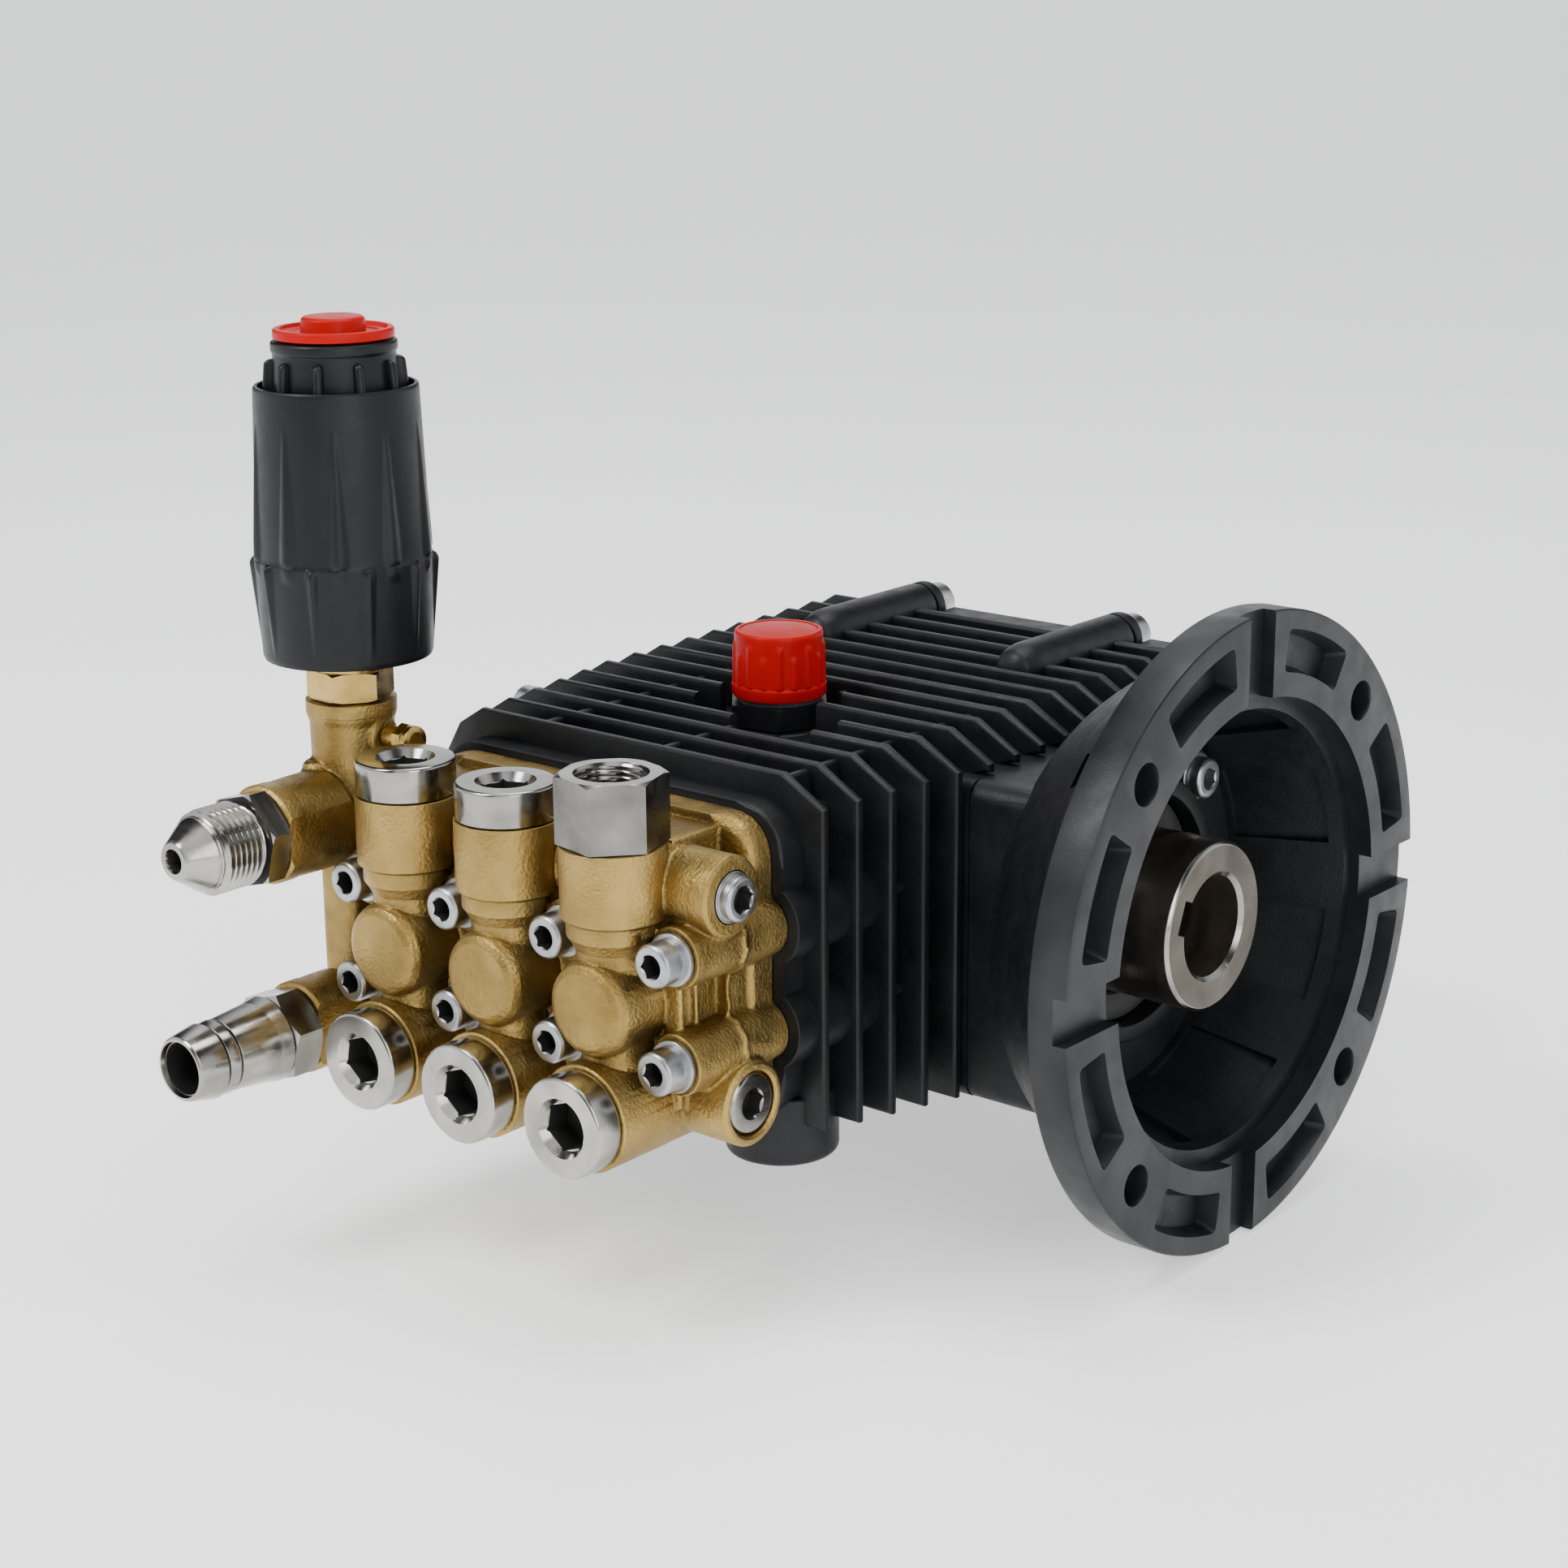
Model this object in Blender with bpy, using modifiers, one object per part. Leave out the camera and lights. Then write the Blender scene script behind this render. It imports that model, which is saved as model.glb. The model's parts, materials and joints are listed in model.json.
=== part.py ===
"""Triplex plunger pump for a pressure washer, with a hollow-shaft motor flange.

World frame, metres: the origin is the centre of the motor flange's face. +X runs along the crankshaft
towards the motor, -Y is the direction in which the plungers push, and +Z is up.
"""

import math

import bmesh
import bpy
from mathutils import Matrix, Vector

MM = 0.001
GAP = 0.3 * MM  # between neighbours that touch on the real pump
PAST = 2.0 * MM  # how far a cutter runs past the face that it opens

# Motor flange and bell, a 160 mm class B14 face
FLANGE_R = 75.0 * MM
FLANGE_T = 10.0 * MM
SPIGOT_R = 55.0 * MM
SPIGOT_DEPTH = 5.5 * MM
BOLT_CIRCLE_R = 65.0 * MM
BOLT_HOLE_R = 4.5 * MM
SLOT_WIDTH = 10.5 * MM
SLOT_DEPTH = 3.3 * MM
POCKET_R = (60.0 * MM, 70.0 * MM)
POCKET_FROM_AXIS = 10.0 * MM
POCKET_FROM_HOLE = 13.0 * MM
POCKET_DEPTH = 6.0 * MM
BELL_FLOOR_X = -33.0 * MM
BELL_FLOOR_R = 42.0 * MM
BELL_MOUTH_R = 51.0 * MM
BELL_BACK_R = 70.0 * MM
NECK_R = 45.0 * MM
NECK_X = -42.0 * MM
BASE_X = -51.3 * MM
BASE_HALF_Y = 39.0 * MM
BASE_Z = (-41.0 * MM, 36.0 * MM)
BASE_CORNER_R = 8.0 * MM
SEAL_R = 28.0 * MM
SEAL_DEPTH = 9.0 * MM
SHAFT_PASSAGE_R = 21.0 * MM

# Crankshaft
THROW = 5.0 * MM
SHAFT_R = 20.0 * MM
SHAFT_SIDES = 24  # enough that a turned shaft's corners clear the rings round it
SHAFT_END_X = -10.0 * MM
SHAFT_BORE_R = 12.0 * MM
SHAFT_BORE_DEPTH = 62.0 * MM
SHAFT_CHAMFER = 0.7 * MM
KEYWAY_WIDTH = 8.0 * MM
KEYWAY_DEPTH = 3.3 * MM
CORE_R = 16.8 * MM
ECCENTRIC_R = 22.0 * MM
ECCENTRIC_W = 15.0 * MM
BEARING_R = 31.0 * MM
BEARING_W = 12.0 * MM

# The three cylinders: middle cylinder's place on X, and their pitch
MID_X = -116.6 * MM
PITCH = 31.6 * MM
CYLINDERS = (1, 2, 3)
CRANK_ANGLE = {1: 0.0, 2: 120.0, 3: 240.0}

# Crankcase
PANEL_Y = -83.0 * MM
REAR_Y = 70.0 * MM
FIN_PITCH = 10.2 * MM
FIN_T = 2.6 * MM
FIN_COUNT = 15
FIN_TOP_Z = 44.6 * MM
FIN_BOTTOM_Z = -37.0 * MM
FIN_HALF_X = 58.0 * MM
FIN_FLARE = 1.5 * MM  # how much wider each of the first fins is than the one in front of it
FLARED_FINS = 5
FIN_CHAMFER = (11.7 * MM, 6.6 * MM)
CORE_HALF_X = 51.5 * MM
CORE_Z = 37.0 * MM
SIDE_X = 58.7 * MM  # from the middle cylinder to the far side's machined face
CAVITY_HALF_X = 42.0 * MM
CAVITY_HALF_Z = 33.0 * MM
CAVITY_FRONT_Y = -36.0 * MM
FOOT_R = 13.0 * MM
FOOT_Z = -46.0 * MM
FOOT_HALF_X = 41.0 * MM
FOOT_Y = (-77.0 * MM, 56.0 * MM)
BOSS_Y = -90.0 * MM
BOSS_HALF_X = 52.5 * MM
BOSS_LOBE_R = 9.4 * MM
BOSS_Z = (-35.5 * MM, 39.0 * MM)
RIDGE_Z = 44.5 * MM
RIDGE_R = 6.6 * MM
RIDGE_START_Y = 22.0 * MM

# Plungers and their guides
GUIDE_R = 13.8 * MM
GUIDE_BORE_R = 14.1 * MM
GUIDE_INSIDE_R = 12.0 * MM
GUIDE_REAR_Y = -40.0 * MM
GUIDE_FRONT_Y = -70.0 * MM
GUIDE_FLOOR_T = 5.0 * MM
PIN_Y = -47.0 * MM
PLUNGER_R = 9.0 * MM
PLUNGER_END_Y = -113.0 * MM
STEM_R = 4.6 * MM

# Manifold
PLATE_Y = (-97.0 * MM, -90.3 * MM)
PLATE_HALF_X = 49.5 * MM
PLATE_Z = (-33.0 * MM, 37.0 * MM)
PLATE_CORNER_R = 11.0 * MM
WALL_HALF_X = 48.3 * MM  # of the flat side wall between the bolt bosses
WALL_Y = -104.0 * MM
LOBE_R = 7.0 * MM
BOLT_Z = 12.05 * MM
BOLT_X = (-47.3 * MM, -15.8 * MM, 15.8 * MM, 47.0 * MM)  # from the middle cylinder
BOLT_HEAD_Y = -120.9 * MM
BOLT_HEAD_H = 6.0 * MM
BOLT_HEAD_R = 5.0 * MM
BOLT_R = 3.0 * MM
DISCHARGE_Y = -121.0 * MM
DISCHARGE_R = 11.8 * MM
DISCHARGE_BORE_R = 8.9 * MM
DISCHARGE_TOP_Z = 35.2 * MM
SUCTION_Z = -24.2 * MM
SUCTION_R = 12.2 * MM
SUCTION_BORE_R = 8.9 * MM
SUCTION_FRONT_Y = -132.5 * MM
DISCHARGE_GALLERY = (-109.0 * MM, 24.5 * MM)  # its axis, as (y, z)
DISCHARGE_GALLERY_R = 9.0 * MM
SUCTION_GALLERY = (-104.5 * MM, -23.4 * MM)
SUCTION_GALLERY_R = 9.6 * MM
GALLERY_BORE_R = 6.0 * MM
GALLERY_FAR_X = -167.6 * MM
DISCHARGE_GALLERY_X = -62.0 * MM
SUCTION_GALLERY_X = -60.5 * MM
PLUG_SEAT_R = 7.4 * MM
PLUG_SEAT_DEPTH = 2.5 * MM
DOME_Y = -132.5 * MM
DOME_R = 11.0 * MM
CAP_R = 11.4 * MM

# Unloader
UNLOADER_X = -178.0 * MM
UNLOADER_Y = -109.5 * MM
OUTLET_Z = 23.5 * MM
INLET_X = -176.0 * MM
OUTLET_Y = -138.8 * MM
INLET_Y = -133.5 * MM
CORE_RIBS = 10

# Oil filler, and the gaps in the fins in front of it, as (low x, high x, low y, high y)
FILLER_Y = -27.6 * MM
FIN_GAPS = (
    (-111.0 * MM, -87.0 * MM, -54.5 * MM, -38.0 * MM),
    (-131.0 * MM, -87.0 * MM, -44.5 * MM, -34.0 * MM),
)

MANIFOLD_SOLVED = ("bell_housing", "manifold")  # the exact solver loses faces of these

PARTS = None  # the collection that holds the sub-parts
CUTTERS = None  # the collection that holds what shapes them


def clear_scene():
    for obj in list(bpy.data.objects):
        bpy.data.objects.remove(obj, do_unlink=True)


def new_collection(name, hidden):
    collection = bpy.data.collections.new(name)
    bpy.context.scene.collection.children.link(collection)
    collection.hide_render = hidden
    return collection


def material(name, colour, roughness, metallic=0.0):
    made = bpy.data.materials.get(name)
    if made:
        return made
    made = bpy.data.materials.new(name)
    made.use_nodes = True
    shader = made.node_tree.nodes["Principled BSDF"]
    shader.inputs["Base Color"].default_value = (*colour, 1.0)
    shader.inputs["Roughness"].default_value = roughness
    shader.inputs["Metallic"].default_value = metallic
    return made


def black_casting():
    return material("black_casting", (0.018, 0.019, 0.021), 0.55, 0.3)


def grey_casting():
    return material("grey_casting", (0.06, 0.063, 0.066), 0.5, 0.5)


def brass():
    return material("brass", (0.60, 0.42, 0.17), 0.42, 1.0)


def steel():
    return material("steel", (0.62, 0.61, 0.58), 0.25, 1.0)


def zinc():
    return material("zinc", (0.58, 0.60, 0.62), 0.4, 1.0)


def bearing_steel():
    return material("bearing_steel", (0.5, 0.5, 0.52), 0.3, 1.0)


def aluminium():
    return material("aluminium", (0.55, 0.56, 0.58), 0.45, 1.0)


def ceramic():
    return material("ceramic", (0.85, 0.83, 0.78), 0.2)


def rubber():
    return material("rubber", (0.02, 0.02, 0.02), 0.8)


def black_plastic():
    return material("black_plastic", (0.02, 0.02, 0.022), 0.45)


def red_plastic():
    return material("red_plastic", (0.75, 0.01, 0.015), 0.3)


def place(name, mesh, collection, at=(0, 0, 0), axis=(0, 0, 1)):
    """An object whose local Z runs along axis from the point at."""
    obj = bpy.data.objects.new(name, mesh)
    obj.location = at
    obj.rotation_euler = Vector((0, 0, 1)).rotation_difference(Vector(axis)).to_euler()
    collection.objects.link(obj)
    return obj


def as_part(obj, finish, smooth=True):
    obj.data.materials.append(finish)
    if smooth:
        for polygon in obj.data.polygons:
            polygon.use_smooth = True
    return obj


def as_cutter(obj):
    obj.hide_render = True
    obj.display_type = "WIRE"
    return obj


def mesh_of(bm, name):
    mesh = bpy.data.meshes.new(name)
    bmesh.ops.recalc_face_normals(bm, faces=bm.faces)
    bm.to_mesh(mesh)
    bm.free()
    return mesh


def downwards(profile):
    """The profile in the order that makes its turned surface face outwards."""
    pairs = zip(profile, profile[1:] + profile[:1])
    area = sum(a[0] * b[1] - b[0] * a[1] for a, b in pairs)
    return profile[::-1] if area > 0 else profile


def turned(name, profile, at, axis, collection, sides=14):
    """A solid of revolution: profile lists (radius, height) along axis from the point at.

    A profile that touches the axis starts and ends on it, and any other is a closed ring.
    """
    points = downwards(list(profile))
    if points[0][0] == 0 and points[-1][0] != 0:
        points = points[1:] + points[:1]
    mesh = bpy.data.meshes.new(name)
    edges = [(i, i + 1) for i in range(len(points) - 1)]
    if points[0][0] > 0:
        edges.append((len(points) - 1, 0))
    mesh.from_pydata([(r, 0, h) for r, h in points], edges, [])
    obj = place(name, mesh, collection, at, axis)
    screw = obj.modifiers.new("turn", "SCREW")
    screw.steps = sides
    screw.render_steps = sides
    screw.use_merge_vertices = True
    screw.merge_threshold = 0.005 * MM
    screw.use_smooth_shade = True
    return obj


def rod(name, radius, low, high, at, axis, collection, sides=14):
    return turned(name, [(0, high), (radius, high), (radius, low), (0, low)], at, axis, collection, sides)


def box(name, low, high, collection, round_edges=0.0, round_axis=None):
    """A box from corner to corner. round_axis rounds only the edges that run along that axis."""
    low, high = Vector(low), Vector(high)
    bm = bmesh.new()
    bmesh.ops.create_cube(bm, size=1.0)
    middle = (low + high) / 2
    for vert in bm.verts:
        vert.co = Vector(vert.co[i] * (high[i] - low[i]) for i in range(3))
    if round_edges:
        edges = [
            edge
            for edge in bm.edges
            if round_axis is None
            or abs((edge.verts[0].co - edge.verts[1].co).normalized()[round_axis]) > 0.9
        ]
        bmesh.ops.bevel(bm, geom=edges, offset=round_edges, segments=3, profile=0.5, affect="EDGES")
    return place(name, mesh_of(bm, name), collection, middle)


def prism(name, outline, low, high, to_world, collection):
    """A flat outline of (u, v) points, extruded from low to high. to_world maps (u, v, w) to a point."""
    bm = bmesh.new()
    face = bm.faces.new([bm.verts.new(to_world(u, v, low)) for u, v in outline])
    raised = bmesh.ops.extrude_face_region(bm, geom=[face])["geom"]
    shift = Vector(to_world(0, 0, high)) - Vector(to_world(0, 0, low))
    bmesh.ops.translate(bm, verts=[v for v in raised if isinstance(v, bmesh.types.BMVert)], vec=shift)
    return place(name, mesh_of(bm, name), collection)


def hexagon(across_flats, turn=0.0):
    radius = across_flats / math.sqrt(3)
    return [
        (radius * math.cos(math.radians(60 * i + turn)), radius * math.sin(math.radians(60 * i + turn)))
        for i in range(6)
    ]


def along_y(x, z):
    """Maps an outline to the plane across Y, centred at x and z."""
    return lambda u, v, w: (x + u, w, z + v)


def along_z(x, y):
    return lambda u, v, w: (x + u, y + v, w)


def along_x(y, z):
    return lambda u, v, w: (w, y + u, z + v)


def boolean(obj, other, operation):
    modifier = obj.modifiers.new(other.name, "BOOLEAN")
    modifier.object = other
    modifier.operation = operation
    modifier.solver = "MANIFOLD" if obj.name in MANIFOLD_SOLVED else "EXACT"


def add(obj, *others):
    for other in others:
        boolean(obj, as_cutter(other), "UNION")


def cut(obj, *others):
    for other in others:
        boolean(obj, as_cutter(other), "DIFFERENCE")


def cylinder_x(number):
    return MID_X + (2 - number) * PITCH


def throw_of(number):
    """Where the crank throw of this cylinder stands at rest, as (y, z)."""
    angle = math.radians(CRANK_ANGLE[number])
    return THROW * math.cos(angle), THROW * math.sin(angle)


# ---------------------------------------------------------------- bell housing


def flange_pocket(quadrant, side):
    """One of the eight shallow pockets: from beside a slot round to beside a bolt hole."""
    inner, outer = POCKET_R
    start = math.degrees(math.asin(POCKET_FROM_AXIS / outer))
    stop = 45 - math.degrees(POCKET_FROM_HOLE / 2 / BOLT_CIRCLE_R) - 3
    angles = [start + (stop - start) * i / 3 for i in range(4)]
    turn = 90 * quadrant + (0 if side == 0 else 90)
    sign = 1 if side == 0 else -1
    ring = [(outer, a) for a in angles] + [(inner, a) for a in reversed(angles)]
    outline = [
        (r * math.cos(math.radians(turn + sign * a)), r * math.sin(math.radians(turn + sign * a)))
        for r, a in ring
    ]
    name = f"flange_pocket_{quadrant}{side}"
    return prism(name, outline, -POCKET_DEPTH, PAST, along_x(0, 0), CUTTERS)


def flange_slot(number):
    """One of the four radial slots across the flange's face."""
    long, half = (SPIGOT_R - PAST * 3, FLANGE_R + PAST), SLOT_WIDTH / 2
    turn = Matrix.Rotation(math.radians(90 * number), 4, "X")
    slot = box(
        f"flange_slot_{number}", (-SLOT_DEPTH, long[0], -half), (PAST, long[1], half), CUTTERS
    )
    slot.data.transform(Matrix.Translation(slot.location))
    slot.data.transform(turn)
    slot.location = (0, 0, 0)
    return slot


def bell_housing():
    back = -FLANGE_T
    outside = [
        (0, 0),
        (FLANGE_R, 0),
        (FLANGE_R, back),
        (BELL_BACK_R, back - 2.5 * MM),
        (NECK_R, NECK_X),
        (NECK_R - 8 * MM, NECK_X - 8 * MM),
        (0, NECK_X - 8 * MM),
    ]
    bell = turned("bell_housing", outside, (0, 0, 0), (1, 0, 0), PARTS, 40)
    as_part(bell, grey_casting())
    low_z, high_z = BASE_Z
    base_low = (BASE_X, -BASE_HALF_Y, low_z)
    base_high = (NECK_X + 12 * MM, BASE_HALF_Y, high_z)
    add(bell, box("bell_base", base_low, base_high, CUTTERS, BASE_CORNER_R, 0))
    inside = [
        (0, PAST),
        (SPIGOT_R, PAST),
        (SPIGOT_R, -SPIGOT_DEPTH),
        (BELL_MOUTH_R, -SPIGOT_DEPTH),
        (BELL_FLOOR_R, BELL_FLOOR_X),
        (0, BELL_FLOOR_X),
    ]
    cut(bell, turned("bell_inside", inside, (0, 0, 0), (1, 0, 0), CUTTERS, 40))
    relief_x = BASE_X + 4 * MM
    seal_seat = [
        (0, BELL_FLOOR_X + PAST),
        (SEAL_R, BELL_FLOOR_X + PAST),
        (SEAL_R, BELL_FLOOR_X - SEAL_DEPTH),
        (SHAFT_PASSAGE_R, BELL_FLOOR_X - SEAL_DEPTH),
        (SHAFT_PASSAGE_R, relief_x),
        (BEARING_R - 4 * MM, relief_x),
        (BEARING_R - 4 * MM, BASE_X - PAST),
        (0, BASE_X - PAST),
    ]
    cut(bell, turned("bell_seal_seat", seal_seat, (0, 0, 0), (1, 0, 0), CUTTERS, SHAFT_SIDES))
    for i in range(4):
        cut(bell, flange_slot(i), flange_pocket(i, 0), flange_pocket(i, 1))
        angle = math.radians(45 + 90 * i)
        y, z = BOLT_CIRCLE_R * math.cos(angle), BOLT_CIRCLE_R * math.sin(angle)
        hole_end = -FLANGE_T - 20 * MM
        cut(bell, rod(f"bolt_hole_{i}", BOLT_HOLE_R, hole_end, PAST, (0, y, z), (1, 0, 0), CUTTERS, 12))
    return bell


# ---------------------------------------------------------------- crankcase


def fin_outline(index):
    """The outline of one fin, as (x, z).

    Fins widen towards the rear. Those beside the bell and the side cover are narrower low down.
    """
    half = FIN_HALF_X + FIN_FLARE * min(index, FLARED_FINS)
    top = FIN_TOP_Z + 0.12 * MM * index
    bottom = FIN_BOTTOM_Z - 0.8 * MM * min(index, FLARED_FINS)
    across, down = FIN_CHAMFER
    y = PANEL_Y + FIN_PITCH * index
    right = [(half - across, top), (half, top - down)]
    if abs(y + FIN_T / 2) < BASE_HALF_Y:
        ledge = BASE_Z[1] + 0.4 * MM
        right += [(half, ledge), (SIDE_X, ledge), (SIDE_X, bottom)]
    else:
        right += [(half, bottom)]
    left = [(-u, v) for u, v in reversed(right)]
    return right + left


def crankcase_outside():
    body = box(
        "crankcase",
        (MID_X - CORE_HALF_X, PANEL_Y, -CORE_Z),
        (MID_X + CORE_HALF_X, REAR_Y, CORE_Z),
        PARTS,
    )
    as_part(body, black_casting(), smooth=False)
    for index in range(FIN_COUNT):
        y = PANEL_Y + FIN_PITCH * index
        add(
            body,
            prism(f"fin_{index}", fin_outline(index), y, y + FIN_T, along_y(MID_X, 0), CUTTERS),
        )
    side_low = (MID_X - SIDE_X, -BASE_HALF_Y, BASE_Z[0])
    side_high = (BASE_X - GAP, BASE_HALF_Y, BASE_Z[1])
    add(body, box("side_pads", side_low, side_high, CUTTERS))
    rear_half = FIN_HALF_X - 2 * MM
    rear_low = (MID_X - rear_half, REAR_Y - 5 * MM, -CORE_Z - 2 * MM)
    rear_high = (MID_X + rear_half, REAR_Y, FIN_TOP_Z - 1 * MM)
    add(body, box("rear_flange", rear_low, rear_high, CUTTERS, 9 * MM, 1))
    boss_low = (MID_X - BOSS_HALF_X, BOSS_Y, BOSS_Z[0])
    boss_high = (MID_X + BOSS_HALF_X, PANEL_Y + 5 * MM, BOSS_Z[1])
    add(body, box("front_boss", boss_low, boss_high, CUTTERS, 12 * MM, 1))
    for x in (BOLT_X[0], BOLT_X[-1]):
        for z in (-BOLT_Z, BOLT_Z):
            name = f"boss_lobe_{x:.3f}_{z:.3f}"
            add(body, rod(name, BOSS_LOBE_R, 78 * MM, -BOSS_Y, (MID_X + x, 0, z), (0, -1, 0), CUTTERS, 14))
    for side in (-1, 1):
        ridge_at = (MID_X + side * PITCH, 0, RIDGE_Z)
        ridge = rod(f"ridge_{side}", RIDGE_R, RIDGE_START_Y, REAR_Y, ridge_at, (0, 1, 0), CUTTERS, 8)
        add(body, ridge)
        for y in FOOT_Y:
            foot_at = (MID_X + side * FOOT_HALF_X, y, 0)
            name = f"foot_{side}_{y:.3f}"
            add(body, rod(name, FOOT_R, FOOT_Z, -CORE_Z + 3 * MM, foot_at, (0, 0, 1), CUTTERS, 14))
    filler_at = (MID_X, FILLER_Y, 0)
    add(body, rod("filler_boss", 13.4 * MM, 30 * MM, 39 * MM, filler_at, (0, 0, 1), CUTTERS, 14))
    hole = [
        (0, 28 * MM),
        (7.2 * MM, 28 * MM),
        (7.2 * MM, 37.5 * MM),
        (15.5 * MM, 37.5 * MM),
        (15.5 * MM, 60 * MM),
        (0, 60 * MM),
    ]
    cut(body, turned("filler_hole", hole, filler_at, (0, 0, 1), CUTTERS, 14))
    for i, (low_x, high_x, low_y, high_y) in enumerate(FIN_GAPS):
        gap_low, gap_high = (low_x, low_y, 37.5 * MM), (high_x, high_y, 60 * MM)
        cut(body, box(f"fin_gap_{i}", gap_low, gap_high, CUTTERS))
    return body


def bearing_opening(side):
    """The stepped hole through a side wall: a seat for the bearing, and a smaller hole past its shoulder."""
    shoulder_x = SIDE_X - BEARING_W - 1 * MM
    end = SIDE_X if side < 0 else BASE_X - MID_X
    profile = [
        (0, CAVITY_HALF_X - 5 * MM),
        (BEARING_R - 3.5 * MM, CAVITY_HALF_X - 5 * MM),
        (BEARING_R - 3.5 * MM, shoulder_x),
        (BEARING_R + GAP, shoulder_x),
        (BEARING_R + GAP, end + PAST),
        (0, end + PAST),
    ]
    at, axis = (MID_X, 0, 0), (side, 0, 0)
    return turned(f"bearing_opening_{side}", profile, at, axis, CUTTERS, SHAFT_SIDES)


def cylinder_bore(number):
    """The stepped hole for one plunger: the guide's bore, a passage, and the oil seal's seat."""
    guide_end, seal_start = 77 * MM, -BOSS_Y - 7 * MM
    profile = [
        (0, -CAVITY_FRONT_Y - 4 * MM),
        (GUIDE_BORE_R, -CAVITY_FRONT_Y - 4 * MM),
        (GUIDE_BORE_R, guide_end),
        (PLUNGER_R + 1 * MM, guide_end),
        (PLUNGER_R + 1 * MM, seal_start),
        (13.3 * MM, seal_start),
        (13.3 * MM, -BOSS_Y + PAST),
        (0, -BOSS_Y + PAST),
    ]
    return turned(f"cylinder_bore_{number}", profile, (cylinder_x(number), 0, 0), (0, -1, 0), CUTTERS)


def crankcase():
    body = crankcase_outside()
    cavity_low = (MID_X - CAVITY_HALF_X, CAVITY_FRONT_Y, -CAVITY_HALF_Z)
    cavity_high = (MID_X + CAVITY_HALF_X, REAR_Y + PAST, CAVITY_HALF_Z)
    cut(body, box("cavity", cavity_low, cavity_high, CUTTERS))
    for side in (-1, 1):
        cut(body, bearing_opening(side))
    for number in CYLINDERS:
        cut(body, cylinder_bore(number))
    for x in BOLT_X:
        for z in (-BOLT_Z, BOLT_Z):
            at = (MID_X + x, 0, z)
            name = f"bolt_thread_{x:.3f}_{z:.3f}"
            cut(body, rod(name, BOLT_R + GAP, 72 * MM, -BOSS_Y + PAST, at, (0, -1, 0), CUTTERS, 8))
    return body


def rear_cover():
    half = FIN_HALF_X - 2 * MM
    front = REAR_Y + GAP
    back = REAR_Y + 7 * MM
    cover = box(
        "rear_cover",
        (MID_X - half, front, -CORE_Z - 2 * MM),
        (MID_X + half, back, FIN_TOP_Z - 1 * MM),
        PARTS,
        9 * MM,
        1,
    )
    as_part(cover, black_casting(), smooth=False)
    for side in (-1, 1):
        at = (MID_X + side * PITCH, 0, RIDGE_Z)
        add(cover, rod(f"cover_lug_{side}", RIDGE_R, front, back, at, (0, 1, 0), CUTTERS, 12))
    at, axis = (MID_X, 0, 0), (0, 1, 0)
    add(cover, rod("window_boss", 15 * MM, back - 2 * MM, back + 3 * MM, at, axis, CUTTERS, 14))
    cut(cover, rod("window_recess", 10 * MM, back - 1 * MM, back + 5 * MM, at, axis, CUTTERS, 14))
    return cover


def side_cover():
    """The cover over the far bearing, opposite the motor."""
    inner = MID_X - SIDE_X - GAP
    outer = inner - 7 * MM
    cover = box(
        "side_cover",
        (outer, -BASE_HALF_Y, BASE_Z[0]),
        (inner, BASE_HALF_Y, BASE_Z[1]),
        PARTS,
        BASE_CORNER_R,
        0,
    )
    as_part(cover, black_casting(), smooth=False)
    at, axis = (0, 0, 0), (-1, 0, 0)
    add(cover, rod("side_cover_dome", 27 * MM, -inner + 1 * MM, -outer + 4 * MM, at, axis, CUTTERS, 16))
    cut(cover, rod("side_cover_hollow", 22 * MM, -inner - PAST, -inner + 6 * MM, at, axis, CUTTERS, 16))
    return cover


# ---------------------------------------------------------------- crank and plungers


def crankshaft():
    far_end = MID_X - SIDE_X - 3 * MM
    profile = [
        (0, SHAFT_END_X),
        (SHAFT_R - SHAFT_CHAMFER, SHAFT_END_X),
        (SHAFT_R, SHAFT_END_X - SHAFT_CHAMFER),
        (SHAFT_R, MID_X + CAVITY_HALF_X + 2 * MM),
        (CORE_R, MID_X + CAVITY_HALF_X + 2 * MM),
        (CORE_R, MID_X - CAVITY_HALF_X - 2 * MM),
        (SHAFT_R, MID_X - CAVITY_HALF_X - 2 * MM),
        (SHAFT_R, far_end),
        (0, far_end),
    ]
    shaft = turned("crankshaft", profile, (0, 0, 0), (1, 0, 0), PARTS, SHAFT_SIDES)
    as_part(shaft, steel())
    for number in CYLINDERS:
        y, z = throw_of(number)
        at = (cylinder_x(number), y, z)
        half = ECCENTRIC_W / 2
        name = f"eccentric_{number}"
        add(shaft, rod(name, ECCENTRIC_R, -half, half, at, (1, 0, 0), CUTTERS, SHAFT_SIDES))
    bore_end = SHAFT_END_X - SHAFT_BORE_DEPTH
    bore = [
        (0, SHAFT_END_X + PAST),
        (SHAFT_BORE_R + SHAFT_CHAMFER + PAST, SHAFT_END_X + PAST),
        (SHAFT_BORE_R, SHAFT_END_X - SHAFT_CHAMFER),
        (SHAFT_BORE_R, bore_end),
        (0, bore_end),
    ]
    cut(shaft, turned("shaft_bore", bore, (0, 0, 0), (1, 0, 0), CUTTERS, 16))
    key_low = (bore_end, -SHAFT_BORE_R - KEYWAY_DEPTH, -KEYWAY_WIDTH / 2)
    key_high = (SHAFT_END_X + PAST, 0, KEYWAY_WIDTH / 2)
    cut(shaft, box("keyway", key_low, key_high, CUTTERS))
    return shaft


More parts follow.
